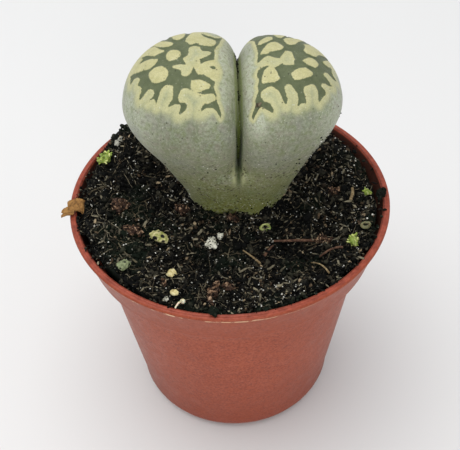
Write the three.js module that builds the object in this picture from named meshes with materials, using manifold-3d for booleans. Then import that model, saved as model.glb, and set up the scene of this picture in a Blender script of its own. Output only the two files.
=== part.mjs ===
// Potted lithops: one pair of thick, flat-topped leaves, parted by a deep fissure,
// growing out of dark potting mix in a small thin-walled nursery pot.
// Millimetres, +Z up. The origin is the middle of the pot's underside, and the
// side that is usually seen faces -Y.
import * as THREE from 'three';
import { mergeVertices } from 'three/addons/utils/BufferGeometryUtils.js';
import Module from 'manifold-3d';

const wasm = await Module();
wasm.setup();

// ---------------------------------------------------------------- sizes

const FIT_GAP = 0.3;

const POT = {
  height: 45,
  lipRadius: 27.5,
  lipWidth: 1.7,
  lipRounding: 0.3,
  collarHeight: 7.2,
  collarFootRadius: 25.4,
  shoulderRadius: 23.5,
  footRadius: 18.7,
  footHeight: 3.2,
  baseRadius: 16,
  wall: 1.1,
  floor: 1.3,
  sides: 60,
};

const DRAIN = { radius: 1.8, count: 4, circle: 10, sides: 14 };

const SOIL = {
  level: 42.4,
  edgeRadius: 24.95,
  lean: -0.03,
  lumpSize: 5.5,
  lumpHeight: 1.2,
  gritSize: 2.1,
  gritHeight: 1.0,
  rings: 18,
  sides: 54,
  crumbs: 72,
  crumbSeed: 71,
};

// Mix piled against and over the lip, behind the plant on the left.
const HEAP = { centre: [-18.2, 15.2], height: 3.6, spread: 4.2, reach: 5.5, crumbs: 12 };

// The mix rises to the lip, gently on the left and close by the wall on the right: how
// much, between which distances from the middle, about which direction in degrees, and
// the cosines where it starts and is full.
const BANKS = [
  { height: 1.6, from: 14.5, to: 23.5, towards: 185, start: -0.1, full: 0.5 },
  { height: 2.2, from: 18.5, to: 24.6, towards: 5, start: -0.35, full: 0.35 },
];

// The leaf pair is measured from the soil, at the middle of its neck.
const PLANT = {
  centre: [1.5, 3.3],
  ground: 42.4,
  neck: [7.8, 5.4],
  sectionPower: 2.3,
  widestLeft: 18.2,
  widestRight: 17.4,
  widestDepth: 12.2,
  widestHeight: 21.8,
  leftHeight: 30.0,
  rightHeight: 29.0,
  crown: [6.5, 0.5],
  crownRadius: [17.3, 20],
  shoulderRounding: 6.5,
  fissureGap: 0.3,
  fissureBridge: 0.2,
  fissureLean: 0.027,
  leanSpread: 4.5,
  fissureRounding: 5,
  fusedHeight: 6.5,
  fusedRounding: 2.6,
  seamRounding: 3,
  rootDepth: 15,
  rootTip: 0.14,
  castFrom: -1.5,
};

// The dull windows between the pale islands lie a little deeper. Islands are given
// in millimetres over each leaf's face, from the middle of its crown: along X, along
// Y, half length, half width, and the turn of the length from X in degrees.
const FACE = { centre: [7.5, 0.5, 12], radius: 15, windowDepth: 0.4, edge: 0.4 };

const LEFT_FACE = {
  outline: [
    [4.6, 4.2], [4.0, 1.0], [3.9, -2.0], [3.7, -5.0], [4.1, -8.0], [4.6, -10.2], [2.2, -9.5],
    [-0.7, -9.9], [-3.0, -8.6], [-5.6, -7.2], [-7.6, -5.2], [-8.6, -2.0], [-7.9, 1.4],
    [-6.2, 4.6], [-3.4, 7.2], [0.2, 8.6], [3.4, 7.2],
  ],
  islands: [
    [-0.8, 3.9, 1.2, 0.9, -70], [2.2, 2.2, 2.3, 1.3, -42], [3.6, 5.0, 1.7, 0.6, -60],
    [-3.0, 2.2, 1.5, 0.7, -42], [-4.2, 0.8, 1.8, 0.7, -35], [-1.4, -1.1, 1.2, 0.9, -58],
    [1.3, -0.3, 0.9, 0.8, -82], [2.6, -1.0, 0.8, 0.5, 30], [1.0, -1.9, 1.3, 0.7, -89],
    [0.0, -3.0, 1.2, 0.5, -59], [1.1, -3.4, 0.9, 0.6, -90], [2.8, -3.9, 1.3, 0.8, -40],
    [-5.8, -1.1, 2.4, 0.8, -23], [-3.5, -3.8, 1.4, 1.1, -46], [1.9, -6.3, 1.2, 0.8, -3],
    [-7.6, -4.0, 1.7, 1.0, -84], [-5.2, -6.4, 1.1, 0.8, 39], [-2.6, -7.2, 1.5, 1.0, 76],
    [0.2, -7.7, 1.1, 0.9, -23], [2.2, -7.9, 1.6, 0.6, 3], [1.1, -8.9, 1.4, 0.9, -3],
    [-1.8, -9.4, 0.9, 0.7, -11], [3.2, -9.8, 1.1, 0.7, -1],
    [-3.6, 5.2, 1.5, 1.0, -35], [0.6, 6.6, 1.3, 0.9, 10], [-6.2, 2.6, 1.2, 0.7, -40],
  ],
};

const RIGHT_FACE = {
  outline: [
    [-3.9, 4.5], [-3.4, 1.0], [-3.4, -3.0], [-3.8, -6.5], [-4.8, -10.2], [-2.0, -9.9],
    [0.8, -9.1], [3.0, -8.7], [5.3, -7.8], [7.0, -6.0], [8.6, -2.6], [8.3, 0.6],
    [7.0, 3.6], [4.6, 6.2], [1.2, 7.8], [-2.4, 6.8],
  ],
  islands: [
    [-2.1, 3.2, 1.3, 0.8, 48], [0.1, 4.8, 1.2, 0.8, 60], [1.7, 3.0, 1.4, 1.0, 40],
    [-1.1, 1.0, 1.4, 1.0, 23], [-2.2, 0.0, 0.8, 0.6, 9], [4.5, 1.8, 1.4, 1.1, 60],
    [0.7, -1.6, 1.4, 0.9, 80], [-1.8, -2.3, 1.7, 0.9, -6], [3.9, -1.8, 1.2, 0.8, 30],
    [7.2, -0.4, 1.2, 0.7, 52], [6.4, 1.9, 1.2, 0.6, 79], [-1.9, -4.6, 1.3, 1.1, -84],
    [2.4, -4.4, 1.6, 0.9, 23], [7.6, -3.0, 1.2, 0.9, 14], [-2.1, -7.7, 1.3, 1.2, -26],
    [-1.2, -8.8, 1.2, 0.9, 21], [0.8, -7.7, 1.4, 0.9, -84], [3.8, -7.2, 1.4, 1.1, -89],
    [6.6, -5.5, 1.2, 0.9, -33], [-3.3, -9.9, 0.9, 0.8, -11],
    [2.2, 6.0, 1.4, 0.8, 20], [5.2, 4.4, 1.2, 0.8, -50], [-1.4, 6.2, 1.1, 0.7, 20],
  ],
};

const COLOURS = {
  pot: 0x9c4a34,
  soil: 0x1f1b19,
  leaf: 0x9aa38c,
  bark: 0x5a3a26,
  twig: 0x8a7350,
  straw: 0xc9b68c,
  perlite: 0xd9d8cf,
  moss: 0x6f8c3a,
  husk: 0xa9a85c,
  pebble: 0x8d9a86,
};

// Small loose things on the mix. Lumps: middle, half sizes, turn in degrees, and how
// much of the half height stands above the mix.
const LUMPS = [
  ['moss_tuft_left', 'moss', [-22.2, 9.6], [2.0, 1.3, 1.0], 20, 0.7],
  ['moss_tuft_right', 'moss', [20.2, -10.9], [1.0, 1.4, 0.9], 10, 0.6],
  ['moss_tuft_back', 'moss', [24.0, 0.0], [0.8, 0.8, 0.8], 0, 0.6],
  ['seed_husk', 'husk', [-12.1, -8.0], [2.1, 1.2, 0.9], -24, 0.7],
  ['perlite_grain', 'perlite', [-3.4, -9.4], [0.9, 1.2, 1.0], 15, 0.6],
  ['perlite_grain_small', 'perlite', [-1.8, -8.0], [0.5, 0.5, 0.5], 0, 0.6],
  ['yellow_grain', 'straw', [-9.7, -16.8], [0.8, 0.8, 0.7], 0, 0.7],
  ['white_grain', 'perlite', [-10.6, -22.1], [0.5, 0.5, 0.5], 0, 0.7],
  ['brown_grain', 'bark', [-11.1, -19.2], [0.5, 0.6, 0.5], 0, 0.7],
  ['grey_flake', 'pebble', [-19.7, 12.4], [1.4, 0.7, 0.5], 50, 0.7],
  ['pale_flake', 'straw', [-9.1, -21.2], [0.7, 0.5, 0.5], -25, 0.7],
  ['bark_chip_1', 'bark', [-18.8, -1.0], [1.8, 1.2, 0.8], 20, 0.6],
  ['bark_chip_2', 'bark', [-16.5, -7.0], [1.5, 0.8, 0.7], -20, 0.6],
  ['bark_chip_3', 'bark', [-8.2, -1.3], [1.5, 1.0, 0.8], -30, 0.6],
  ['bark_chip_4', 'bark', [-0.8, -18.8], [0.7, 0.8, 0.6], 15, 0.6],
  ['bark_chip_5', 'bark', [15.7, -9.6], [1.5, 0.9, 0.7], -40, 0.6],
  ['bark_chip_6', 'bark', [18.4, 2.5], [1.0, 0.7, 0.7], 0, 0.6],
  ['bark_chip_7', 'bark', [-3.1, -21.0], [0.6, 2.6, 0.6], -11, 0.6],
  ['bark_chip_8', 'bark', [0.4, -4.4], [0.9, 0.7, 0.6], 0, 0.6],
  ['green_pebble', 'pebble', [-17.3, -15.9], [1.1, 1.0, 0.8], 20, 0.6],
];

// Twigs, needles and fibres: radius, then points on the mix with a lift above it.
const TWIGS = [
  ['twig_long', 'twig', 0.38, [[7.1, -9.0, 0.3], [10.4, -9.2, 0.5], [14.0, -9.0, 0.3]]],
  ['twig_short', 'twig', 0.3, [[6.9, -10.2, 0.3], [6.2, -11.4, 0.5], [5.3, -12.8, 0.3]]],
  ['twig_thin', 'straw', 0.3, [[1.9, -11.0, 0.3], [3.4, -12.5, 0.4], [4.6, -14.3, 0.3]]],
  ['needle', 'straw', 0.25, [[12.9, -14.2, 0.3], [14.2, -16.4, 0.4], [15.2, -18.8, 0.3]]],
  ['twig_right', 'twig', 0.3, [[14.3, -13.5, 0.3], [16.3, -12.9, 0.5], [18.1, -12.5, 0.3]]],
  ['straw_piece', 'straw', 0.35, [[21.6, 1.9, 0.3], [21.5, 0.6, 0.5], [21.0, -0.7, 0.3]]],
  ['dark_fibre', 'bark', 0.25, [[-18.5, -10.6, 0.3], [-17.3, -12.6, 0.5], [-15.3, -14.8, 0.3]]],
];

// Empty ring-shaped seed husks lying flat: ring radius and its thickness.
const RINGS = [
  ['husk_ring_green', 'husk', [5.9, -5.4], 0.8, 0.3],
  ['husk_ring_tan', 'straw', [22.6, -7.8], 0.7, 0.3],
];

// A pale seedling: a round head on the mix and a thin stalk that arches onto the lip.
const SPROUT = { foot: [-8.95, -24.9], head: [-7.85, -23.2], headRadius: 0.6, stalk: 0.25, rise: 0.8 };

// A dry leaf scrap over the left lip: a flap that hangs down inside, and a narrow
// tongue that sticks out and droops.
const SCRAP = {
  y: -1.6, width: 3.2, inside: 24.75, flapFoot: 44.0, thickness: 0.4,
  tongue: { y: -3.3, width: 1.7, bend: 27.8, reach: 28.9, droop: 0.4 },
};

// Clods of mix that lie on the lip.
const LIP_CLODS = [
  ['lip_clod_right', [25.9, -2.0], [0.7, 1.6, 0.6], -30],
  ['lip_clod_front', [-3.1, -26.3], [0.8, 0.7, 0.6], 0],
];

// ---------------------------------------------------------------- helpers

function seededRandom(seed) {
  let state = seed >>> 0;
  return () => {
    state = (state + 0x6d2b79f5) >>> 0;
    let t = Math.imul(state ^ (state >>> 15), 1 | state);
    t = (t + Math.imul(t ^ (t >>> 7), 61 | t)) ^ t;
    return ((t ^ (t >>> 14)) >>> 0) / 4294967296;
  };
}

// Shared corners merged and spent triangles dropped, so the surface closes.
function weld(geometry) {
  const bare = geometry.clone();
  bare.deleteAttribute('normal');
  bare.deleteAttribute('uv');
  const welded = mergeVertices(bare, 1e-4);
  const corners = welded.index.array;
  const kept = [];
  for (let i = 0; i < corners.length; i += 3) {
    const [a, b, c] = [corners[i], corners[i + 1], corners[i + 2]];
    if (a !== b && b !== c && c !== a) kept.push(a, b, c);
  }
  welded.setIndex(kept);
  return welded;
}

function signedVolume(geometry) {
  const place = geometry.attributes.position;
  const corners = geometry.index.array;
  const [a, b, c] = [new THREE.Vector3(), new THREE.Vector3(), new THREE.Vector3()];
  let sum = 0;
  for (let i = 0; i < corners.length; i += 3) {
    a.fromBufferAttribute(place, corners[i]);
    b.fromBufferAttribute(place, corners[i + 1]);
    c.fromBufferAttribute(place, corners[i + 2]);
    sum += a.dot(b.cross(c)) / 6;
  }
  return sum;
}

function solidOf(geometry) {
  const welded = weld(geometry);
  const triVerts = Uint32Array.from(welded.index.array);
  if (signedVolume(welded) < 0) triVerts.reverse();
  const vertProperties = Float32Array.from(welded.attributes.position.array);
  return new wasm.Manifold(new wasm.Mesh({ numProp: 3, vertProperties, triVerts }));
}

function geometryOf(solid) {
  const { vertProperties, triVerts } = solid.getMesh();
  const geometry = new THREE.BufferGeometry();
  geometry.setAttribute('position', new THREE.BufferAttribute(vertProperties, 3));
  geometry.setIndex(new THREE.BufferAttribute(triVerts, 1));
  return geometry;
}

// The largest body of a cut solid: scraps that a cut has loosened are dropped.
function mainBody(solid) {
  const bodies = solid.decompose();
  const volumes = bodies.map((body) => signedVolume(geometryOf(body)));
  return bodies[volumes.indexOf(Math.max(...volumes))];
}

// A profile of [radius, height] points turned about the Z axis.
function turned(profile, sides) {
  const points = profile.map(([radius, height]) => new THREE.Vector2(radius, height));
  return new THREE.LatheGeometry(points, sides).rotateX(Math.PI / 2);
}

function latticeValue(column, row, seed) {
  let mix = Math.imul(column, 374761393) + Math.imul(row, 668265263) + Math.imul(seed, 974634777);
  mix = Math.imul(mix ^ (mix >>> 13), 1274126177);
  return ((mix ^ (mix >>> 16)) >>> 0) / 4294967296;
}

// Smooth bumps between -0.5 and 0.5, one to each unit square.
function bumps(x, y, seed) {
  const [column, row] = [Math.floor(x), Math.floor(y)];
  const ease = (t) => t * t * (3 - 2 * t);
  const [across, along] = [ease(x - column), ease(y - row)];
  const near = THREE.MathUtils.lerp(
    latticeValue(column, row, seed), latticeValue(column + 1, row, seed), across);
  const far = THREE.MathUtils.lerp(
    latticeValue(column, row + 1, seed), latticeValue(column + 1, row + 1, seed), across);
  return THREE.MathUtils.lerp(near, far, along) - 0.5;
}

function smoothMax(a, b, blend) {
  const overlap = Math.max(blend - Math.abs(a - b), 0) / blend;
  return Math.max(a, b) + (overlap * overlap * blend) / 4;
}

// ---------------------------------------------------------------- pot

// Thin moulded wall: a rounded foot, a tapered body, a collar that stands proud of
// it over a small ledge, and a flat lip.
function potGeometry() {
  const collarFoot = POT.height - POT.collarHeight;
  const lipInside = POT.lipRadius - POT.lipWidth;
  const outside = [
    [0, 0], [POT.baseRadius, 0], [POT.baseRadius + 1.5, 0.5], [POT.footRadius - 0.4, 1.6],
    [POT.footRadius, POT.footHeight], [POT.shoulderRadius, collarFoot - 0.6],
    [POT.collarFootRadius - 0.3, collarFoot - 0.2], [POT.collarFootRadius, collarFoot + 0.2],
    [POT.lipRadius - 0.1, POT.height - 0.9], [POT.lipRadius, POT.height - POT.lipRounding],
    [POT.lipRadius - POT.lipRounding, POT.height],
  ];
  const inside = [
    [lipInside + POT.lipRounding, POT.height], [lipInside - 0.1, POT.height - 0.5],
    [POT.collarFootRadius - POT.wall, collarFoot + 0.5],
    [POT.shoulderRadius - POT.wall, collarFoot - 0.6],
    [POT.footRadius - POT.wall, POT.footHeight], [POT.baseRadius - 0.3, POT.floor], [0, POT.floor],
  ];
  let solid = solidOf(turned([...outside, ...inside], POT.sides));
  for (let i = 0; i < DRAIN.count; i += 1) {
    const turn = ((i + 0.5) / DRAIN.count) * 2 * Math.PI;
    const drill = new THREE.CylinderGeometry(DRAIN.radius, DRAIN.radius, 4 * POT.floor, DRAIN.sides);
    drill.rotateX(Math.PI / 2);
    drill.translate(DRAIN.circle * Math.cos(turn), DRAIN.circle * Math.sin(turn), 0);
    solid = solid.subtract(solidOf(drill));
  }
  return geometryOf(solid);
}

// ---------------------------------------------------------------- lithops

// Below zero inside the plant, and about the distance in millimetres outside it. The
// two leaves part in a groove here, and the fissure below it is cut afterwards.
function leafPairField(x, y, z) {
  const t = THREE.MathUtils.clamp(z / PLANT.widestHeight, 0, 1);
  const flare = t * t * (3 - 2 * t);
  const taper = THREE.MathUtils.lerp(1, PLANT.rootTip, THREE.MathUtils.clamp(-z / PLANT.rootDepth, 0, 1));
  const widest = x < 0 ? PLANT.widestLeft : PLANT.widestRight;
  const halfWidth = THREE.MathUtils.lerp(PLANT.neck[0], widest, flare) * taper;
  const halfDepth = THREE.MathUtils.lerp(PLANT.neck[1], PLANT.widestDepth, flare) * taper;
  const power = PLANT.sectionPower;
  const reach = (Math.abs(x / halfWidth) ** power + Math.abs(y / halfDepth) ** power) ** (1 / power);
  const side = Math.hypot(x, y) * (1 - 1 / Math.max(reach, 1e-6)) * 0.85;

  const across = Math.abs(x) - PLANT.crown[0];
  const along = y - PLANT.crown[1];
  const height = x < 0 ? PLANT.leftHeight : PLANT.rightHeight;
  const dome = across ** 2 / (2 * PLANT.crownRadius[0]) + along ** 2 / (2 * PLANT.crownRadius[1]);
  const top = z - height + dome;

  const leaf = smoothMax(side, top, PLANT.shoulderRounding);
  const parted = smoothMax(leaf, -PLANT.fissureBridge - Math.abs(x), PLANT.fissureRounding);
  const fused = smoothMax(side, z - PLANT.fusedHeight, PLANT.fusedRounding);
  const body = -smoothMax(-parted, -fused, PLANT.seamRounding);
  return smoothMax(body, -PLANT.rootDepth - z, 1);
}

// How far the surface lies from the casting point, along one direction.
function castDistance(direction, level) {
  const step = 0.25;
  const outside = (distance) => leafPairField(
    direction.x * distance, direction.y * distance, PLANT.castFrom + direction.z * distance) > level;
  let far = step;
  while (!outside(far)) far += step;
  let near = far - step;
  for (let i = 0; i < 24; i += 1) {
    const middle = (near + far) / 2;
    if (outside(middle)) far = middle;
    else near = middle;
  }
  return near;
}

// Distance to an outline, below zero inside it.
function outlineDistance(u, v, outline) {
  let nearest = Infinity;
  let inside = false;
  outline.forEach(([ax, ay], i) => {
    const [bx, by] = outline[(i + 1) % outline.length];
    const along = ((u - ax) * (bx - ax) + (v - ay) * (by - ay)) / ((bx - ax) ** 2 + (by - ay) ** 2);
    const t = THREE.MathUtils.clamp(along, 0, 1);
    nearest = Math.min(nearest, Math.hypot(u - ax - t * (bx - ax), v - ay - t * (by - ay)));
    if ((ay > v) !== (by > v) && u < ax + ((v - ay) / (by - ay)) * (bx - ax)) inside = !inside;
  });
  return inside ? -nearest : nearest;
}

function islandDistance(u, v, [middleU, middleV, halfLength, halfWidth, turn]) {
  const angle = THREE.MathUtils.degToRad(turn);
  const along = (u - middleU) * Math.cos(angle) + (v - middleV) * Math.sin(angle);
  const across = (v - middleV) * Math.cos(angle) - (u - middleU) * Math.sin(angle);
  return (Math.hypot(along / halfLength, across / halfWidth) - 1) * halfWidth;
}

// 1 in the middle of a window, 0 on an island and outside the patterned face.
function windowShare(point) {
  const face = point.x < 0 ? LEFT_FACE : RIGHT_FACE;
  const fromCore = new THREE.Vector3(
    point.x - Math.sign(point.x) * FACE.centre[0], point.y - FACE.centre[1], point.z - FACE.centre[2]);
  const fall = FACE.radius * Math.acos(fromCore.normalize().z);
  const turn = Math.atan2(fromCore.y, fromCore.x);
  const [u, v] = [fall * Math.cos(turn), fall * Math.sin(turn)];
  let depth = -outlineDistance(u, v, face.outline);
  for (const island of face.islands) depth = Math.min(depth, islandDistance(u, v, island));
  return THREE.MathUtils.smoothstep(depth, 0, FACE.edge);
}

// More of the lines run over the patterned faces than round the plain flanks.
function gathered(share, faceShare, faceAngle, wholeAngle) {
  const size = Math.abs(share);
  const angle = size < faceShare
    ? (faceAngle * size) / faceShare
    : faceAngle + ((wholeAngle - faceAngle) * (size - faceShare)) / (1 - faceShare);
  return Math.sign(share) * THREE.MathUtils.degToRad(angle);
}

// Where the skin lies in a direction: tilted from the fissure's plane towards +X, and
// leaning round it from the vertical. level sets it that far outside the plant's own.
function skinPoint(tilt, lean, level, patterned) {
  const direction = new THREE.Vector3(
    Math.sin(tilt), Math.cos(tilt) * Math.sin(lean), Math.cos(tilt) * Math.cos(lean));
  const point = direction.clone().multiplyScalar(castDistance(direction, level));
  point.z += PLANT.castFrom;
  point.x += PLANT.fissureLean * (point.z - PLANT.fusedHeight) * Math.exp(-((point.x / PLANT.leanSpread) ** 2));
  if (patterned && point.z > PLANT.widestHeight / 2) {
    point.addScaledVector(direction, -FACE.windowDepth * windowShare(point));
  }
  return [PLANT.centre[0] + point.x, PLANT.centre[1] + point.y, PLANT.ground + point.z];
}

// One closed skin cast from a point inside the neck, on rows that follow the fissure.
// Both leaves have the same triangles, mirrored, so the groove between them is even.
function leafPairGeometry(rows, columns, level, patterned) {
  const corners = [skinPoint(-Math.PI / 2, 0, level, patterned)];
  const index = [];
  const at = (row, column) => 1 + row * columns + (column % columns);
  for (let row = 0; row < rows; row += 1) {
    const rowShare = (2 * (row + 1)) / (rows + 1) - 1;
    const tilt = patterned ? gathered(rowShare, 0.6, 36, 90) : (rowShare * Math.PI) / 2;
    for (let column = 0; column < columns; column += 1) {
      const columnShare = (2 * column) / columns - 1;
      const lean = patterned ? gathered(columnShare, 0.52, 32, 180) : columnShare * Math.PI;
      corners.push(skinPoint(tilt, lean, level, patterned));
      const [a, b] = [at(row, column), at(row, column + 1)];
      const [d, c] = [at(row + 1, column), at(row + 1, column + 1)];
      if (row === rows - 1) continue;
      if (rowShare < 0) index.push(a, b, c, a, c, d);
      else index.push(a, b, d, b, c, d);
    }
  }
  const lastPole = corners.length;
  corners.push(skinPoint(Math.PI / 2, 0, level, patterned));
  for (let column = 0; column < columns; column += 1) {
    index.push(0, at(0, column + 1), at(0, column));
    index.push(lastPole, at(rows - 1, column), at(rows - 1, column + 1));
  }
  const geometry = new THREE.BufferGeometry();
  geometry.setAttribute('position', new THREE.Float32BufferAttribute(corners.flat(), 3));
  geometry.setIndex(index);
  return geometry;
}

// The leaf pair with its fissure: a thin slot from the fused foot up, right through.
function lithopsGeometry() {
  const slot = new THREE.BoxGeometry(
    PLANT.fissureGap, 4 * PLANT.widestDepth, 2 * PLANT.leftHeight);
  slot.translate(0, 0, PLANT.leftHeight).rotateY(Math.atan(PLANT.fissureLean));
  slot.translate(PLANT.centre[0], PLANT.centre[1], PLANT.ground + PLANT.fusedHeight);
  return geometryOf(solidOf(leafPairGeometry(51, 56, 0, true)).subtract(solidOf(slot)));
}

// ---------------------------------------------------------------- loose things

// A faceted stone-like lump with uneven corners, grown by clearance where it only
// makes room for the real one. The smallest have eight faces and the rest twenty.
function lumpGeometry(halfSizes, turn, seed, clearance = 0) {
  const random = seededRandom(seed);
  const small = Math.max(...halfSizes) < 1;
  const geometry = weld(small ? new THREE.OctahedronGeometry(1.1, 0) : new THREE.IcosahedronGeometry(1, 0));
  const place = geometry.attributes.position;
  for (let i = 0; i < place.count; i += 1) {
    const swell = 0.8 + 0.35 * random();
    const sizes = halfSizes.map((size) => size * swell + clearance * 1.3);
    place.setXYZ(i, place.getX(i) * sizes[0], place.getY(i) * sizes[1], place.getZ(i) * sizes[2]);
  }
  return geometry.rotateZ(THREE.MathUtils.degToRad(turn));
}

// A thin round bar along points, longer at both ends by clearance.
function barGeometry(points, radius, clearance = 0) {
  const [first, last] = [points[0], points[points.length - 1]];
  const start = first.clone().sub(points[1]).setLength(clearance);
  const end = last.clone().sub(points[points.length - 2]).setLength(clearance);
  const path = [first.clone().add(start), ...points.slice(1, -1), last.clone().add(end)];
  const section = new THREE.Shape();
  const sides = 6;
  for (let i = 0; i < sides; i += 1) {
    const turn = (i / sides) * 2 * Math.PI;
    const reach = (radius + clearance) / Math.cos(Math.PI / sides);
    if (i === 0) section.moveTo(reach, 0);
    else section.lineTo(reach * Math.cos(turn), reach * Math.sin(turn));
  }
  section.closePath();
  return new THREE.ExtrudeGeometry(section, {
    steps: 4, bevelEnabled: false, extrudePath: new THREE.CatmullRomCurve3(path),
  });
}

function twigGeometry(points, radius, clearance) {
  const raised = points.map(([x, y, lift]) => new THREE.Vector3(x, y, soilHeight(x, y) + lift + radius));
  return barGeometry(raised, radius, clearance);
}

function lumpOnSoil([, , [x, y], halfSizes, turn, stands], seed, clearance) {
  return lumpGeometry(halfSizes, turn, seed, clearance)
    .translate(x, y, soilHeight(x, y) + halfSizes[2] * stands);
}

function ringGeometry([x, y], radius, thickness, clearance = 0) {
  return new THREE.TorusGeometry(radius, thickness + clearance, 6, 12)
    .translate(x, y, soilHeight(x, y) + thickness);
}

// The opening of a ring is filled in the shape that makes room for it.
function ringRoom([x, y], radius, thickness) {
  const reach = radius + thickness + FIT_GAP;
  const disc = new THREE.CylinderGeometry(reach, reach, 2 * (thickness + FIT_GAP), 16);
  return disc.rotateX(Math.PI / 2).translate(x, y, soilHeight(x, y) + thickness);
}

function sproutSolid(clearance = 0) {
  const foot = new THREE.Vector3(...SPROUT.foot, POT.height + FIT_GAP + SPROUT.stalk);
  const head = new THREE.Vector3(...SPROUT.head, soilHeight(...SPROUT.head) + SPROUT.rise);
  const middle = foot.clone().lerp(head, 0.5);
  middle.z += 0.5;
  const ball = new THREE.SphereGeometry(SPROUT.headRadius + clearance, 8, 6);
  ball.translate(head.x, head.y, head.z);
  return solidOf(barGeometry([foot, middle, head], SPROUT.stalk, clearance)).add(solidOf(ball));
}

// A flat outline in X and Z, made a plate of that width along Y about its middle.
function platesAlongY(outline, width, y) {
  const shape = new THREE.Shape(outline.map(([x, z]) => new THREE.Vector2(x, z)));
  const plate = new THREE.ExtrudeGeometry(shape, { depth: width, bevelEnabled: false });
  return solidOf(weld(plate.rotateX(Math.PI / 2).translate(0, y + width / 2, 0)));
}

function scrapSolid() {
  const under = POT.height + FIT_GAP;
  const { inside, flapFoot, thickness, tongue } = SCRAP;
  const flapOutside = inside + thickness - 0.05;
  const edge = tongue.bend - 0.2;
  const flap = [
    [-inside, under + thickness], [-inside, flapFoot], [-flapOutside, flapFoot],
    [-flapOutside, under], [-edge, under], [-edge, under + thickness],
  ];
  const tip = under - tongue.droop;
  const strip = [
    [-edge + 0.6, under + thickness], [-edge + 0.6, under], [-tongue.bend, under],
    [-tongue.reach, tip], [-tongue.reach, tip + thickness], [-tongue.bend, under + thickness],
  ];
  return platesAlongY(flap, SCRAP.width, SCRAP.y).add(platesAlongY(strip, tongue.width, tongue.y));
}

// The room that the mix leaves for the flap.
function scrapRoom() {
  const room = new THREE.BoxGeometry(SCRAP.thickness + 2 * FIT_GAP, SCRAP.width + 2 * FIT_GAP, 4);
  return solidOf(room.translate(-SCRAP.inside - SCRAP.thickness / 2, SCRAP.y, SCRAP.flapFoot - FIT_GAP + 2));
}

// ---------------------------------------------------------------- soil

function bankHeight(x, y) {
  const fromMiddle = Math.max(Math.hypot(x, y), 1e-6);
  let height = 0;
  for (const bank of BANKS) {
    const towards = THREE.MathUtils.degToRad(bank.towards);
    const cosine = (x * Math.cos(towards) + y * Math.sin(towards)) / fromMiddle;
    height += bank.height * THREE.MathUtils.smoothstep(fromMiddle, bank.from, bank.to)
      * THREE.MathUtils.smoothstep(cosine, bank.start, bank.full);
  }
  return height;
}

function soilHeight(x, y) {
  const lumps = SOIL.lumpHeight * bumps(x / SOIL.lumpSize, y / SOIL.lumpSize, 3);
  const grit = SOIL.gritHeight * bumps(x / SOIL.gritSize, y / SOIL.gritSize, 8);
  const fromHeap = Math.hypot(x - HEAP.centre[0], y - HEAP.centre[1]) / HEAP.spread;
  const heap = HEAP.height * Math.exp(-(fromHeap ** 2) / 2);
  return SOIL.level + SOIL.lean * x + lumps + grit + heap + bankHeight(x, y);
}

// The mix fills the pot with a little air at the wall, and its top is uneven.
function soilBody() {
  const collarFoot = POT.height - POT.collarHeight;
  const air = POT.wall + 0.35;
  const profile = [
    [0, POT.floor + FIT_GAP], [POT.baseRadius - 1, POT.floor + FIT_GAP],
    [POT.footRadius - air, POT.footHeight + 0.3], [POT.shoulderRadius - air, collarFoot - 0.6],
    [POT.collarFootRadius - air - 0.1, collarFoot + 0.5],
  ];
  for (let i = 0; i < SOIL.rings; i += 1) {
    profile.push([SOIL.edgeRadius * (1 - i / SOIL.rings) ** 0.8, SOIL.level]);
  }
  profile.push([0, SOIL.level]);
  const geometry = turned(profile, SOIL.sides);
  const place = geometry.attributes.position;
  for (let i = 0; i < place.count; i += 1) {
    if (place.getZ(i) > SOIL.level - 1e-3) place.setZ(i, soilHeight(place.getX(i), place.getY(i)));
  }
  return solidOf(geometry);
}

// Plan circles that crumbs keep out of: the plant's neck and everything loose.
function clearings() {
  const circles = [[PLANT.centre[0] - 4, PLANT.centre[1], 5.6], [PLANT.centre[0] + 4, PLANT.centre[1], 5.6],
    [PLANT.centre[0], PLANT.centre[1], 6.4]];
  for (const [, , [x, y], [halfLength, halfWidth]] of LUMPS) {
    circles.push([x, y, Math.max(halfLength, halfWidth) + 0.3]);
  }
  for (const [, , radius, points] of TWIGS) {
    const curve = new THREE.CatmullRomCurve3(points.map(([x, y]) => new THREE.Vector3(x, y, 0)));
    for (const { x, y } of curve.getPoints(8)) circles.push([x, y, radius + 0.5]);
  }
  for (const [, , [x, y], radius, thickness] of RINGS) circles.push([x, y, radius + thickness + 0.4]);
  for (const [x, y] of [SPROUT.foot, SPROUT.head]) circles.push([x, y, 1.2]);
  return circles;
}

function crumbSolids() {
  const random = seededRandom(SOIL.crumbSeed);
  const circles = clearings();
  const crumbs = [];
  while (crumbs.length < SOIL.crumbs + HEAP.crumbs) {
    const inHeap = crumbs.length >= SOIL.crumbs;
    const size = 0.7 + 1.1 * random() ** 2;
    const turn = random() * 2 * Math.PI;
    const spread = inHeap ? HEAP.reach : SOIL.edgeRadius - size - 0.2;
    const reach = spread * Math.sqrt(random());
    const [x, y] = [(inHeap ? HEAP.centre[0] : 0) + reach * Math.cos(turn),
      (inHeap ? HEAP.centre[1] : 0) + reach * Math.sin(turn)];
    const halfSizes = [size, size * (0.7 + 0.5 * random()), size * (0.6 + 0.4 * random())];
    const seed = Math.floor(random() * 1e6);
    const blocked = circles.some(([cx, cy, radius]) => Math.hypot(x - cx, y - cy) < radius + size);
    if (blocked || Math.hypot(x, y) > POT.lipRadius - 0.8) continue;
    const lump = lumpGeometry(halfSizes, turn * 57, seed);
    crumbs.push(solidOf(lump.translate(x, y, soilHeight(x, y) + halfSizes[2] * 0.2)));
  }
  return crumbs;
}

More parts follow.
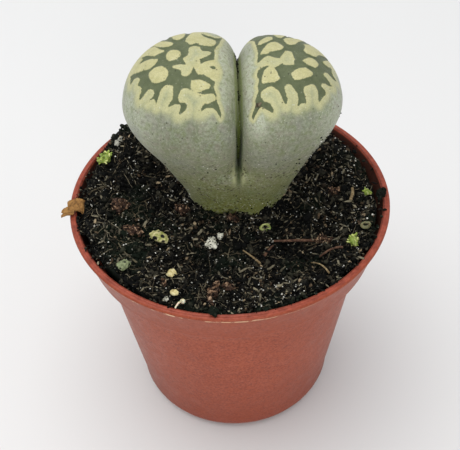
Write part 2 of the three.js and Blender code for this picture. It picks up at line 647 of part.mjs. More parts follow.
// The lip and wall with their air gap, so that no crumb touches the pot.
function wallRoom() {
  const lipInside = POT.lipRadius - POT.lipWidth;
  const collarFoot = POT.height - POT.collarHeight;
  const top = POT.height + FIT_GAP;
  const beyond = POT.lipRadius + 4;
  return solidOf(turned([
    [POT.collarFootRadius - POT.wall - FIT_GAP, collarFoot], [beyond, collarFoot], [beyond, top],
    [lipInside - FIT_GAP, top], [lipInside - 0.1 - FIT_GAP, POT.height - 0.5],
    [POT.collarFootRadius - POT.wall - FIT_GAP, collarFoot + 0.5],
    [POT.collarFootRadius - POT.wall - FIT_GAP, collarFoot],
  ], POT.sides));
}

function soilGeometry() {
  let solid = soilBody();
  for (const crumb of crumbSolids()) solid = solid.add(crumb);
  solid = solid.subtract(wallRoom());
  solid = solid.subtract(solidOf(leafPairGeometry(21, 30, FIT_GAP + 0.2, false)));
  LUMPS.forEach((lump, i) => {
    solid = solid.subtract(solidOf(lumpOnSoil(lump, i + 1, FIT_GAP)));
  });
  for (const [, , radius, points] of TWIGS) {
    solid = solid.subtract(solidOf(twigGeometry(points, radius, FIT_GAP)));
  }
  for (const [, , middle, radius, thickness] of RINGS) {
    solid = solid.subtract(solidOf(ringRoom(middle, radius, thickness)));
  }
  solid = solid.subtract(sproutSolid(FIT_GAP)).subtract(scrapRoom());
  return geometryOf(mainBody(solid));
}

// ---------------------------------------------------------------- the part

function piece(name, geometry, colour, roughness) {
  const material = new THREE.MeshStandardMaterial({ color: COLOURS[colour], roughness, metalness: 0 });
  const mesh = new THREE.Mesh(geometry, material);
  mesh.name = name;
  return mesh;
}

const part = new THREE.Group();
part.add(piece('pot', potGeometry(), 'pot', 0.5));
part.add(piece('soil', soilGeometry(), 'soil', 0.95));
part.add(piece('lithops', lithopsGeometry(), 'leaf', 0.6));
LUMPS.forEach((lump, i) => part.add(piece(lump[0], lumpOnSoil(lump, i + 1, 0), lump[1], 0.85)));
for (const [name, colour, radius, points] of TWIGS) {
  part.add(piece(name, weld(twigGeometry(points, radius, 0)), colour, 0.85));
}
for (const [name, colour, middle, radius, thickness] of RINGS) {
  part.add(piece(name, weld(ringGeometry(middle, radius, thickness)), colour, 0.85));
}
part.add(piece('sprout', geometryOf(sproutSolid()), 'straw', 0.7));
part.add(piece('leaf_scrap', geometryOf(scrapSolid()), 'straw', 0.85));
for (const [name, [x, y], halfSizes, turn] of LIP_CLODS) {
  const clod = lumpGeometry(halfSizes, turn, x + 40);
  part.add(piece(name, clod.translate(x, y, POT.height + FIT_GAP + halfSizes[2] * 1.15), 'soil', 0.95));
}

export default part;
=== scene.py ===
import math

import bmesh
import bpy
import numpy as np
from mathutils import Matrix, Vector, noise


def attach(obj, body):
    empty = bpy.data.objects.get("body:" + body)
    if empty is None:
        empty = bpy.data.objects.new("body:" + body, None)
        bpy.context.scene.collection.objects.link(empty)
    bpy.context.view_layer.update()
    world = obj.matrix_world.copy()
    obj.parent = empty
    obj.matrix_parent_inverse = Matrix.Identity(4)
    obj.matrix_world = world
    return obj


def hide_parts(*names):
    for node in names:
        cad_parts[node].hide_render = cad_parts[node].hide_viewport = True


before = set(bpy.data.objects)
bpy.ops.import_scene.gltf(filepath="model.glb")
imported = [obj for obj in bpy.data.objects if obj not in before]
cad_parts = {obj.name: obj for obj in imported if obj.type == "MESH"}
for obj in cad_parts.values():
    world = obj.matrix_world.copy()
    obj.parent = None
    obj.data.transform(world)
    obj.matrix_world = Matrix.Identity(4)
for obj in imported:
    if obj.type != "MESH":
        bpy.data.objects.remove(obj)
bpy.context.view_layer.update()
MM = 0.001
scene = bpy.context.scene


# ------------------------------------------------------------------ camera and light
# A hand-held camera looks down on the pot at 45 degrees from close by, rolled a little.
# Distances are in millimetres from the point above the pot's foot that it looks at.

CAMERA_TARGET = (-0.1, 0.0, 37.55)
CAMERA_DISTANCE = 153.3
CAMERA_ELEVATION = math.radians(45.2)
CAMERA_ROLL = math.radians(-2.28)
CAMERA_LENS = 67.0

# The camera's own three directions, first level and then rolled.
away = Vector((0, -math.cos(CAMERA_ELEVATION), math.sin(CAMERA_ELEVATION)))
level_up = Vector((0, math.sin(CAMERA_ELEVATION), math.cos(CAMERA_ELEVATION)))
level_right = Vector((1, 0, 0))
camera_right = level_right * math.cos(CAMERA_ROLL) + level_up * math.sin(CAMERA_ROLL)
camera_up = level_up * math.cos(CAMERA_ROLL) - level_right * math.sin(CAMERA_ROLL)
camera = bpy.data.objects.new("camera", bpy.data.cameras.new("camera"))
scene.collection.objects.link(camera)
turn = Matrix((camera_right, camera_up, away)).transposed().to_4x4()
camera.matrix_world = Matrix.Translation((Vector(CAMERA_TARGET) + away * CAMERA_DISTANCE) * MM) @ turn
camera.data.lens = CAMERA_LENS
camera.data.sensor_width = 36
camera.data.clip_start = 0.005
scene.camera = camera


def area_light(name, place, target, size, power, colour):
    """A round soft light facing its target; places and sizes in metres."""
    light = bpy.data.lights.new(name, "AREA")
    light.shape = "DISK"
    light.size = size
    light.energy = power
    light.color = colour
    holder = bpy.data.objects.new(name, light)
    scene.collection.objects.link(holder)
    holder.location = place
    holder.rotation_euler = (Vector(target) - Vector(place)).to_track_quat("-Z", "Y").to_euler()


area_light("window light", place=(-0.10, 0.03, 0.52), target=(0, 0, 0.05), size=0.6, power=1.9,
           colour=(1.0, 0.985, 0.96))
area_light("front fill", place=(0.06, -0.60, 0.17), target=(0, 0, 0.025), size=0.30, power=1.2,
           colour=(1.0, 0.99, 0.98))

world = bpy.data.worlds.new("studio")
scene.world = world
world.use_nodes = True
background = world.node_tree.nodes["Background"]
background.inputs["Color"].default_value = (0.93, 0.95, 0.97, 1)
background.inputs["Strength"].default_value = 0.68
scene.view_settings.view_transform = "Standard"


# ------------------------------------------------------------------ floor
# A plain pale sheet under the pot, so wide that its edges stay out of the picture. It only
# carries the pot's soft shadow and is no part of the plant.

FLOOR_REACH = 1500.0


def add_piece(name, vertices, faces):
    """A smooth mesh object at the origin from points in millimetres."""
    mesh = bpy.data.meshes.new(name)
    places = [tuple(vertex) for vertex in np.asarray(vertices, float) * MM]
    mesh.from_pydata(places, [], [tuple(face) for face in faces])
    mesh.update()
    mesh.polygons.foreach_set("use_smooth", [True] * len(mesh.polygons))
    piece = bpy.data.objects.new(name, mesh)
    scene.collection.objects.link(piece)
    return piece


class Shader:
    """A material's node tree with a Principled surface, built by short calls."""

    def __init__(self, name, colour, roughness, **sockets):
        self.material = bpy.data.materials.new(name)
        self.material.use_nodes = True
        self.nodes = self.material.node_tree.nodes
        self.links = self.material.node_tree.links
        self.surface = self.nodes["Principled BSDF"]
        self.set("Base Color", (*colour, 1))
        self.set("Roughness", roughness)
        for socket, value in sockets.items():
            self.set(socket.replace("_", " "), value)
        self.coordinates = self.nodes.new("ShaderNodeTexCoord").outputs["Object"]

    def set(self, socket, value):
        self.surface.inputs[socket].default_value = value

    def join(self, source, target):
        self.links.new(source, target)

    def _feed(self, node, index, value):
        """Joins another node's output to an input, or sets the input to a plain value."""
        if hasattr(value, "is_output"):
            self.links.new(value, node.inputs[index])
        else:
            node.inputs[index].default_value = value

    def math(self, operation, a, b=0.0, c=0.0):
        node = self.nodes.new("ShaderNodeMath")
        node.operation = operation
        for index, value in enumerate((a, b, c)):
            self._feed(node, index, value)
        return node.outputs[0]

    def times(self, a, b):
        """One thing scaled or masked by another."""
        return self.math("MULTIPLY", a, b)

    def sway(self, noise, reach):
        """Noise moved down to lie about zero, with a reach of its own."""
        return self.times(self.math("SUBTRACT", noise, 0.5), reach)

    def _texture(self, kind, per_mm, stretch, **sockets):
        """A texture on the piece's own places, with per_mm cells to a millimetre."""
        node = self.nodes.new(kind)
        node.inputs["Scale"].default_value = per_mm / MM
        for socket, value in sockets.items():
            node.inputs[socket].default_value = value
        place = self.coordinates
        if stretch is not None:
            mapping = self.nodes.new("ShaderNodeMapping")
            mapping.inputs["Scale"].default_value = stretch
            self.join(place, mapping.inputs["Vector"])
            place = mapping.outputs["Vector"]
        self.join(place, node.inputs["Vector"])
        return node

    def noise(self, per_mm, detail=3.0, rough=0.55, distortion=0.0, stretch=None):
        """Cloudy noise from 0 to 1."""
        node = self._texture("ShaderNodeTexNoise", per_mm, stretch, Detail=detail, Roughness=rough,
                             Distortion=distortion)
        return node.outputs["Fac"]

    def cells(self, per_mm, stretch=None):
        """Distance to the nearest of scattered points, 0 on each point."""
        return self._texture("ShaderNodeTexVoronoi", per_mm, stretch).outputs["Distance"]

    def attribute(self, name):
        node = self.nodes.new("ShaderNodeAttribute")
        node.attribute_name = name
        return node.outputs["Fac"]

    def ramp(self, factor, *stops, soft=False):
        """Colour stops (place, (r, g, b)) over a factor."""
        node = self.nodes.new("ShaderNodeValToRGB")
        node.color_ramp.interpolation = "B_SPLINE" if soft else "LINEAR"
        elements = node.color_ramp.elements
        while len(elements) > 1:
            elements.remove(elements[-1])
        for index, (place, colour) in enumerate(stops):
            element = elements[0] if index == 0 else elements.new(place)
            element.position = place
            element.color = (*colour, 1)
        self.join(factor, node.inputs["Fac"])
        return node.outputs["Color"]

    def step(self, value, low, high):
        """0 at low and beyond, rising smoothly to 1 at high, which may be the lower number."""
        node = self.nodes.new("ShaderNodeMapRange")
        node.interpolation_type = "SMOOTHSTEP"
        node.inputs["From Min"].default_value = low
        node.inputs["From Max"].default_value = high
        self._feed(node, 0, value)
        return node.outputs[0]

    def mix(self, factor, a, b):
        """Colour a where the factor is 0 and colour b where it is 1."""
        node = self.nodes.new("ShaderNodeMix")
        node.data_type = "RGBA"
        self._feed(node, 0, factor)
        for index, value in ((6, a), (7, b)):
            self._feed(node, index, value if hasattr(value, "is_output") else (*value, 1))
        return node.outputs[2]

    def tint(self, colour, mask, share, paint):
        """The colour turned towards a paint by a share of the mask."""
        return self.mix(self.times(mask, share), colour, paint)

    def bump(self, height, distance_mm, strength):
        node = self.nodes.new("ShaderNodeBump")
        node.inputs["Distance"].default_value = distance_mm * MM
        node.inputs["Strength"].default_value = strength
        self.join(height, node.inputs["Height"])
        return node.outputs["Normal"]

    def finish(self, colour=None, roughness=None, normal=None):
        """Joins what is given to the surface, and hands out the material."""
        for socket, value in (("Base Color", colour), ("Roughness", roughness), ("Normal", normal)):
            if value is not None:
                self.join(value, self.surface.inputs[socket])
        return self.material


def rgb(red, green, blue):
    """A colour as the eye reads it, 0 to 255, in the linear values that shaders take."""
    shares = [value / 255 for value in (red, green, blue)]
    return tuple(((c + 0.055) / 1.055) ** 2.4 if c > 0.04045 else c / 12.92 for c in shares)


corners = [(x * FLOOR_REACH, y * FLOOR_REACH, 0) for x, y in ((-1, -1), (1, -1), (1, 1), (-1, 1))]
floor = add_piece("floor", corners, [(0, 1, 2, 3)])
floor.data.materials.append(Shader("pale floor", rgb(225, 225, 225), 0.85).finish())


# ------------------------------------------------------------------ pot
# A 5.5 cm nursery pot, thermoformed from thin terracotta-coloured plastic. A collar stands
# proud of the tapered body over a small ledge and ends in a flat lip with a fine groove.

POT_HEIGHT = 45.0
LIP_RADIUS = 27.5
LIP_INSIDE = 26.3
LIP_UNDERSIDE = 43.2
LIP_ROUNDING = 0.4
INNER_ROUNDING = 0.25
COLLAR_RADIUS = 25.4
COLLAR_ROUNDING = 0.5
BODY_RADIUS = 23.5
FOOT_RADIUS = 18.7
BASE_RADIUS = 16.0
POT_WALL = 1.1
POT_FLOOR = 1.3
POT_SIDES = 240
DRAIN_RADIUS = 1.8
DRAIN_CIRCLE = 10.0
DRAIN_COUNT = 4
DRILL_SIDES = 40
DRILL_DEPTH = 8.0
# The body's flare from the foot: shares of its width, which rises with them to the ledge.
FLARE_SHARES = (0.15, 0.3, 0.45, 0.6, 0.75, 0.9, 0.975)
FLARE_FROM = 3.2
FLARE_RISE = 33.6
# Steps out from the body and the collar with their heights, and in from the lip's edge with depths.
LEDGE = [(0.05, 36.1), (0.3, 36.55), (0.8, 36.95)]
COLLAR_FLARE = [(0.4, 39.2), (0.95, 41.2)]
LIP_GROOVE = [(0.55, 0.02), (0.64, 0.09), (0.73, 0.02), (1.1, 0.0)]
TERRACOTTA = {
    "clouds": (rgb(140, 64, 40), rgb(149, 70, 45)), "pale grain": rgb(170, 92, 68),
    "dark grain": rgb(108, 46, 32), "smudges": rgb(156, 82, 58), "foot dirt and shade": rgb(116, 48, 28),
    "collar": rgb(132, 56, 28), "lip": (rgb(126, 56, 40), rgb(158, 76, 57)), "inside": rgb(70, 42, 34),
    "dirt": rgb(52, 36, 30), "lime": rgb(222, 192, 152),
}


def arc(centre, radius, start, end, steps):
    """Points of a profile's rounded corner, angles in degrees from +radius towards +height."""
    turns = [math.radians(start + (end - start) * i / steps) for i in range(steps + 1)]
    return [(centre[0] + radius * math.cos(t), centre[1] + radius * math.sin(t)) for t in turns]


def pot_profile():
    """The wall's section, out along the base, up the outside and back down the inside."""
    flare = BODY_RADIUS - FOOT_RADIUS
    collar_inside = COLLAR_RADIUS - POT_WALL
    return [
        (0, 0), (BASE_RADIUS - 1.5, 0), *arc((BASE_RADIUS - 0.2, 3.0), 3.0, -85, -12, 8),
        (FOOT_RADIUS + 0.12, 4.2),
        *[(FOOT_RADIUS + flare * share, FLARE_FROM + FLARE_RISE * share) for share in FLARE_SHARES],
        *[(BODY_RADIUS + out, height) for out, height in LEDGE],
        *arc((COLLAR_RADIUS - 0.45, 37.85), COLLAR_ROUNDING, -50, 0, 4),
        *[(COLLAR_RADIUS + out, height) for out, height in COLLAR_FLARE],
        (LIP_RADIUS - 0.55, LIP_UNDERSIDE),
        *arc((LIP_RADIUS - LIP_ROUNDING, POT_HEIGHT - LIP_ROUNDING), LIP_ROUNDING, -20, 80, 6),
        *[(LIP_RADIUS - inward, POT_HEIGHT - depth) for inward, depth in LIP_GROOVE],
        *arc((LIP_INSIDE + INNER_ROUNDING, POT_HEIGHT - INNER_ROUNDING), INNER_ROUNDING, 90, 180, 4),
        (LIP_INSIDE - 0.3, LIP_UNDERSIDE), (collar_inside + 0.1, 38.6),
        *arc((collar_inside - 0.45, 38.2), COLLAR_ROUNDING, 0, -80, 3),
        (BODY_RADIUS - POT_WALL, 36.9), (FOOT_RADIUS - POT_WALL, 4.0),
        *arc((BASE_RADIUS - 1.2, 3.6), 2.3, 0, -85, 5), (0, POT_FLOOR),
    ]


class Tree:
    """A Geometry Nodes tree, built by short calls, with a named input for each size."""

    def __init__(self, name):
        self.group = bpy.data.node_groups.new(name, "GeometryNodeTree")
        for way in ("INPUT", "OUTPUT"):
            self.group.interface.new_socket("Geometry", in_out=way, socket_type="NodeSocketGeometry")
        self.entry = self.group.nodes.new("NodeGroupInput")
        self.geometry = self.entry.outputs[0]
        self.settings = {}

    def size(self, name, value, kind="NodeSocketFloat"):
        """A named input of the tree, set to the value when it grows."""
        socket = self.group.interface.new_socket(name, in_out="INPUT", socket_type=kind)
        self.settings[socket.identifier] = value
        return next(s for s in self.entry.outputs if s.identifier == socket.identifier)

    def node(self, kind, feeds=(), output=0, **settings):
        node = self.group.nodes.new(kind)
        for name, value in settings.items():
            setattr(node, name, value)
        for key, value in dict(feeds).items():
            if hasattr(value, "is_output"):
                self.group.links.new(value, node.inputs[key])
            else:
                node.inputs[key].default_value = value
        return node.outputs[output]

    def math(self, operation, a, b=0.0):
        return self.node("ShaderNodeMath", {0: a, 1: b}, operation=operation)

    def vector(self, operation, a, b):
        return self.node("ShaderNodeVectorMath", {0: a, 1: b}, operation=operation)

    def scaled(self, vector, factor):
        return self.node("ShaderNodeVectorMath", {0: vector, "Scale": factor}, operation="SCALE")

    def random(self, low, high, seed):
        """A random value for each element, a vector where low is one."""
        vectors = hasattr(low, "__len__")
        first, output, kind = (0, 0, "FLOAT_VECTOR") if vectors else (2, 1, "FLOAT")
        feeds = {first: low, first + 1: high, "Seed": seed}
        return self.node("FunctionNodeRandomValue", feeds, output, data_type=kind)

    def evenly(self, size):
        """The same size in all three directions."""
        return self.node("ShaderNodeCombineXYZ", {"X": size, "Y": size, "Z": size})

    def upwards(self, size):
        """The size as a step along Z alone."""
        return self.node("ShaderNodeCombineXYZ", {"Z": size})

    def named(self, name):
        return self.node("GeometryNodeInputNamedAttribute", {"Name": name}, data_type="FLOAT")

    def strewn_spots(self, density, seed):
        """Points scattered over the base mesh, each with a tone of its own."""
        spots = self.node("GeometryNodeDistributePointsOnFaces", {
            "Mesh": self.geometry, "Density": density, "Seed": seed}, distribute_method="RANDOM")
        tone = self.random(0.0, 1.0, self.math("ADD", seed, 1))
        return self.node("GeometryNodeStoreNamedAttribute", {
            "Geometry": spots, "Name": "tone", "Value": tone}, data_type="FLOAT", domain="POINT")

    def moved(self, geometry, offset):
        return self.node("GeometryNodeSetPosition", {"Geometry": geometry, "Offset": offset})

    def rumple(self, geometry, cell_mm, reach_mm):
        """Points pushed about by noise of that cell size and reach."""
        place = self.node("GeometryNodeInputPosition")
        cloud = self.node("ShaderNodeTexNoise", {"Vector": place, "Scale": 1 / (cell_mm * MM),
                                                 "Detail": 2.0}, 1)
        push = self.scaled(self.vector("SUBTRACT", cloud, (0.5, 0.5, 0.5)), 2 * reach_mm * MM)
        return self.moved(geometry, push)

    def finish(self, geometry, material, smooth=True):
        """Closes the tree: real meshes, shaded smooth or flat, in the material."""
        geometry = self.node("GeometryNodeRealizeInstances", {0: geometry})
        geometry = self.node("GeometryNodeSetShadeSmooth", {"Geometry": geometry, "Shade Smooth": smooth})
        material = self.size("Material", material, "NodeSocketMaterial")
        geometry = self.node("GeometryNodeSetMaterial", {"Geometry": geometry, "Material": material})
        leave = self.group.nodes.new("NodeGroupOutput")
        self.group.links.new(geometry, leave.inputs[0])

    def grow(self, name, mesh):
        """The plain mesh that the tree makes from the given one, as a new piece."""
        piece = bpy.data.objects.new(name, mesh)
        scene.collection.objects.link(piece)
        modifier = piece.modifiers.new(self.group.name, "NODES")
        modifier.node_group = self.group
        for identifier, value in self.settings.items():
            modifier[identifier] = value
        bpy.context.view_layer.update()
        graph = bpy.context.evaluated_depsgraph_get()
        grown = bpy.data.meshes.new_from_object(piece.evaluated_get(graph), preserve_all_data_layers=True,
                                                depsgraph=graph)
        piece.modifiers.clear()
        piece.data = grown
        grown.name = name
        return piece


def pot_tree(profile, material):
    """Turns a profile about the Z axis and drills the ring of drain holes."""
    tree = Tree("turned pot")
    steps = tree.size("Profile points", len(profile), "NodeSocketInt")
    sides = tree.size("Sides", POT_SIDES, "NodeSocketInt")
    hole = tree.size("Drain hole radius", DRAIN_RADIUS * MM)
    circle = tree.size("Drain circle radius", DRAIN_CIRCLE * MM)
    holes = tree.size("Drain holes", DRAIN_COUNT, "NodeSocketInt")
    around = tree.math("ADD", sides, 1)
    grid = tree.node("GeometryNodeMeshGrid", {"Vertices X": steps, "Vertices Y": around})
    index = tree.node("GeometryNodeInputIndex")
    row = tree.math("FLOOR", tree.math("DIVIDE", tree.math("ADD", index, 0.5), around))
    column = tree.math("SUBTRACT", index, tree.math("MULTIPLY", row, around))
    turn = tree.math("DIVIDE", tree.math("MULTIPLY", column, -2 * math.pi), sides)
    corner = tree.node("GeometryNodeSampleIndex", {
        "Geometry": tree.geometry, "Value": tree.node("GeometryNodeInputPosition"), "Index": row,
    }, data_type="FLOAT_VECTOR", domain="POINT")
    split = tree.group.nodes.new("ShaderNodeSeparateXYZ")
    tree.group.links.new(corner, split.inputs[0])
    place = tree.node("ShaderNodeCombineXYZ", {
        "X": tree.math("MULTIPLY", split.outputs["X"], tree.math("COSINE", turn)),
        "Y": tree.math("MULTIPLY", split.outputs["X"], tree.math("SINE", turn)), "Z": split.outputs["Z"]})
    shell = tree.node("GeometryNodeSetPosition", {"Geometry": grid, "Position": place})
    shell = tree.node("GeometryNodeMergeByDistance", {"Geometry": shell, "Distance": 1e-6})
    ring = tree.node("GeometryNodeMeshCircle", {"Vertices": holes, "Radius": circle})
    ring = tree.node("GeometryNodeTransform", {"Geometry": ring, "Rotation": (0, 0, math.pi / 4)})
    drill = tree.node("GeometryNodeMeshCylinder", {"Vertices": DRILL_SIDES, "Radius": hole,
                                                   "Depth": DRILL_DEPTH * MM})
    drills = tree.node("GeometryNodeInstanceOnPoints", {"Points": ring, "Instance": drill})
    drills = tree.node("GeometryNodeRealizeInstances", {0: drills})
    drilled = tree.node("GeometryNodeMeshBoolean", {"Mesh 1": shell, "Mesh 2": drills},
                        operation="DIFFERENCE", solver="EXACT")
    tree.finish(drilled, material)
    return tree


def pot_material():
    """Satin plastic, faintly clouded by handling, with dirt specks and a lime line by the lip."""
    shader = Shader("terracotta plastic", rgb(150, 78, 60), 0.42, Specular_IOR_Level=0.24)
    split = shader.nodes.new("ShaderNodeSeparateXYZ")
    shader.join(shader.coordinates, split.inputs[0])
    height = shader.times(split.outputs["Z"], 1 / MM)
    squares = [shader.math("POWER", split.outputs[axis], 2) for axis in "XY"]
    radius = shader.times(shader.math("SQRT", shader.math("ADD", *squares)), 1 / MM)
    colour = shader.ramp(shader.noise(0.11), *zip((0.3, 0.7), TERRACOTTA["clouds"]))
    fine = shader.noise(2.4, 3, 0.65)
    colour = shader.tint(colour, shader.step(fine, 0.5, 0.66), 0.45, TERRACOTTA["pale grain"])
    colour = shader.tint(colour, shader.step(fine, 0.5, 0.36), 0.6, TERRACOTTA["dark grain"])
    smudged = shader.step(shader.noise(0.5, 5, 0.7), 0.52, 0.66)
    colour = shader.tint(colour, smudged, 0.4, TERRACOTTA["smudges"])
    # Darker towards the foot: partly dirt, partly painted shade.
    colour = shader.tint(colour, shader.step(height, 24, 2), 0.4, TERRACOTTA["foot dirt and shade"])
    colour = shader.tint(colour, shader.step(height, 37.2, 38.4), 0.3, TERRACOTTA["collar"])
    on_lip = shader.times(shader.step(height, 43.9, 44.7), shader.step(radius, 27.45, 27.2))
    lip_colour = shader.ramp(shader.noise(0.9, 5, 0.7), *zip((0.38, 0.6), TERRACOTTA["lip"]))
    colour = shader.mix(on_lip, colour, lip_colour)
    # The inner wall above the soil is darker: partly soil dust, partly painted shade.
    leaning = shader.math("SUBTRACT", radius, shader.times(height, 0.33))
    above_soil = shader.times(shader.step(height, 38.3, 38.9), shader.step(height, 44.9, 44.5))
    inside = shader.times(shader.step(leaning, 12.3, 12.1), above_soil)
    colour = shader.mix(inside, colour, TERRACOTTA["inside"])
    patchy = shader.step(shader.noise(0.16, 2), 0.5, 0.62)
    specks = shader.times(shader.step(shader.cells(0.5), 0.085, 0.05), patchy)
    colour = shader.tint(colour, shader.times(specks, shader.step(height, 20, 40)), 0.8, TERRACOTTA["dirt"])
    wavering = shader.math("ADD", height, shader.sway(shader.noise(0.35), 0.7))
    from_line = shader.math("ABSOLUTE", shader.math("SUBTRACT", wavering, 44.25))
    line = shader.times(shader.step(from_line, 0.3, 0.12), shader.step(shader.noise(0.6, 5, 0.7), 0.46, 0.56))
    line = shader.times(line, shader.step(radius, 26.7, 26.9))
    back_right = shader.math("ADD", split.outputs["X"], split.outputs["Y"])
    front_left = shader.math("MULTIPLY_ADD", back_right, -26.0, -0.1)
    front_left = shader.math("MINIMUM", shader.math("MAXIMUM", front_left, 0.1), 0.9)
    colour = shader.mix(shader.times(line, front_left), colour, TERRACOTTA["lime"])
    handled = shader.step(shader.noise(0.5), 0.2, 0.8)
    rough = shader.math("ADD", shader.times(handled, 0.14), 0.36)
    return shader.finish(colour, rough, shader.bump(fine, 0.05, 0.6))


profile_mesh = bpy.data.meshes.new("pot profile")
profile = pot_profile()
profile_mesh.from_pydata([(radius * MM, 0, height * MM) for radius, height in profile],
                         [(i, i + 1) for i in range(len(profile) - 1)], [])
pot = pot_tree(profile, pot_material()).grow("moulded_pot", profile_mesh)
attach(pot, "root")
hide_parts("pot")


# ------------------------------------------------------------------ soil
# Peaty cactus mix, pressed in by hand to a few millimetres under the lip: black crumbs,
# brown fibres and slivers of bark, with sand and crushed perlite glinting all through it.

SOIL_LEVEL = 42.4
SOIL_EDGE = 25.3
SOIL_LEAN = -0.03
LUMP_SIZE = 5.5
LUMP_HEIGHT = 1.2
GRIT_SIZE = 2.1
GRIT_HEIGHT = 1.0
HEAP_CENTRE = (-18.2, 15.2)
HEAP_HEIGHT = 3.6
HEAP_SPREAD = 4.2
# Rises towards the lip: height, reach from the middle, direction in degrees, and its cosines' range.
BANKS = [(1.6, (14.5, 23.5), 185, (-0.1, 0.5)), (2.2, (18.5, 24.6), 5, (-0.35, 0.35))]
PLANT_CENTRE = (1.5, 3.3)
NECK = (7.8, 5.4)
NECK_BANK = 0.7
NECK_BANK_ASIDE = 1.6
SECTION_POWER = 2.3
FINE_CRUMB = [(0.6, 1.2, 21), (0.45, 0.62, 22), (0.2, 0.3, 23)]
BED_RINGS = 112
BED_SIDES = 480
BED_GAP = 0.35
ANY_WAY = 3.2
STRAND_POINTS = 7
DRAPED_FROM = 8.0


def lattice_value(column, row, salt):
    """An even scatter of values from 0 to 1, the same for the same whole numbers."""
    whole = 0xFFFFFFFF
    mix = (column * 374761393 + row * 668265263 + salt * 974634777) & whole
    mix = ((mix ^ (mix >> 13)) * 1274126177) & whole
    return (mix ^ (mix >> 16)) / 2**32


def bumps(x, y, salt):
    """Smooth bumps between -0.5 and 0.5, one to each unit square."""
    column, row = np.floor(x).astype(np.int64), np.floor(y).astype(np.int64)
    across, along = x - column, y - row
    across, along = across * across * (3 - 2 * across), along * along * (3 - 2 * along)
    near, far = (lattice_value(column, line, salt) * (1 - across)
                 + lattice_value(column + 1, line, salt) * across for line in (row, row + 1))
    return near * (1 - along) + far * along - 0.5


def smooth_step(value, low, high):
    """0 at low and beyond, rising smoothly to 1 at high, which may be the lower number."""
    t = np.clip((value - low) / (high - low), 0, 1)
    return t * t * (3 - 2 * t)


def bank_height(x, y):
    """How much the mix rises towards the lip, gently on the left and close by it on the right."""
    from_middle = np.maximum(np.hypot(x, y), 1e-6)
    total = 0.0
    for height, reach, towards, cosines in BANKS:
        turn_angle = math.radians(towards)
        cosine = (x * math.cos(turn_angle) + y * math.sin(turn_angle)) / from_middle
        total = total + height * smooth_step(from_middle, *reach) * smooth_step(cosine, *cosines)
    return total


def soil_height(x, y):
    """The mix's height without its fine crumb: a slight lean, lumps, grit, the heap and the banks."""
    x, y = np.asarray(x, float), np.asarray(y, float)
    lumps = LUMP_HEIGHT * bumps(x / LUMP_SIZE, y / LUMP_SIZE, 3)
    grit = GRIT_HEIGHT * bumps(x / GRIT_SIZE, y / GRIT_SIZE, 8)
    from_heap = np.hypot(x - HEAP_CENTRE[0], y - HEAP_CENTRE[1]) / HEAP_SPREAD
    heap = HEAP_HEIGHT * np.exp(-(from_heap**2) / 2)
    return SOIL_LEVEL + SOIL_LEAN * x + lumps + grit + heap + bank_height(x, y)


def oval_reach(across, along):
    """1 on the rim of the plant's squarish oval section, and growing evenly outwards."""
    return (np.abs(across) ** SECTION_POWER + np.abs(along) ** SECTION_POWER) ** (1 / SECTION_POWER)


def from_neck(x, y):
    """How far a place on the soil lies from the plant's neck, in millimetres."""
    reach = oval_reach((x - PLANT_CENTRE[0]) / NECK[0], (y - PLANT_CENTRE[1]) / NECK[1])
    return np.hypot(x - PLANT_CENTRE[0], y - PLANT_CENTRE[1]) * (1 - 1 / np.maximum(reach, 1e-6))


def bed_relief(x, y):
    """The soil's height with the fine crumb, and the soil drawn up against the neck."""
    fine = sum(height * bumps(x / size, y / size, salt) for height, size, salt in FINE_CRUMB)
    beside = np.clip((np.abs(x - PLANT_CENTRE[0]) - 3) / 4, 0, 1)
    bank = (NECK_BANK + NECK_BANK_ASIDE * beside) * np.exp(-np.maximum(from_neck(x, y), 0) / 1.6)
    return soil_height(x, y) + fine - 0.15 + bank


def turned_mesh(profile, segments):
    """Points and faces of a closed profile turned about the Z axis, bottom first."""
    ring = [p for p in profile if p[0] > 1e-9]
    vertices = [(0, 0, profile[0][1]), (0, 0, profile[-1][1])]
    for radius, height in ring:
        for s in range(segments):
            t = 2 * math.pi * s / segments
            vertices.append((radius * math.cos(t), radius * math.sin(t), height))
    faces = []
    for i in range(len(ring) - 1):
        for s in range(segments):
            a, b = 2 + i * segments + s, 2 + i * segments + (s + 1) % segments
            faces.append((a, b, b + segments, a + segments))
    last = 2 + (len(ring) - 1) * segments
    for s in range(segments):
        after = (s + 1) % segments
        faces.append((0, 2 + after, 2 + s))
        faces.append((1, last + s, last + after))
    return vertices, faces


def soil_bed():
    """The whole body of soil, open-topped pot shape below and the rough top above."""
    gap = POT_WALL + BED_GAP
    inner = [(BASE_RADIUS - 1, POT_FLOOR + 0.3), (FOOT_RADIUS - gap, 3.5), (BODY_RADIUS - gap, 37.2),
             (COLLAR_RADIUS - gap - 0.1, 38.3)]
    top = [(SOIL_EDGE * (1 - i / BED_RINGS) ** 0.9, SOIL_LEVEL) for i in range(BED_RINGS)]
    profile = [(0, POT_FLOOR + 0.3), *inner, *top, (0, SOIL_LEVEL)]
    vertices, faces = turned_mesh(profile, BED_SIDES)
    vertices = np.array(vertices, float)
    on_top = vertices[:, 2] > SOIL_LEVEL - 1e-6
    vertices[on_top, 2] = bed_relief(vertices[on_top, 0], vertices[on_top, 1])
    return vertices, faces, on_top


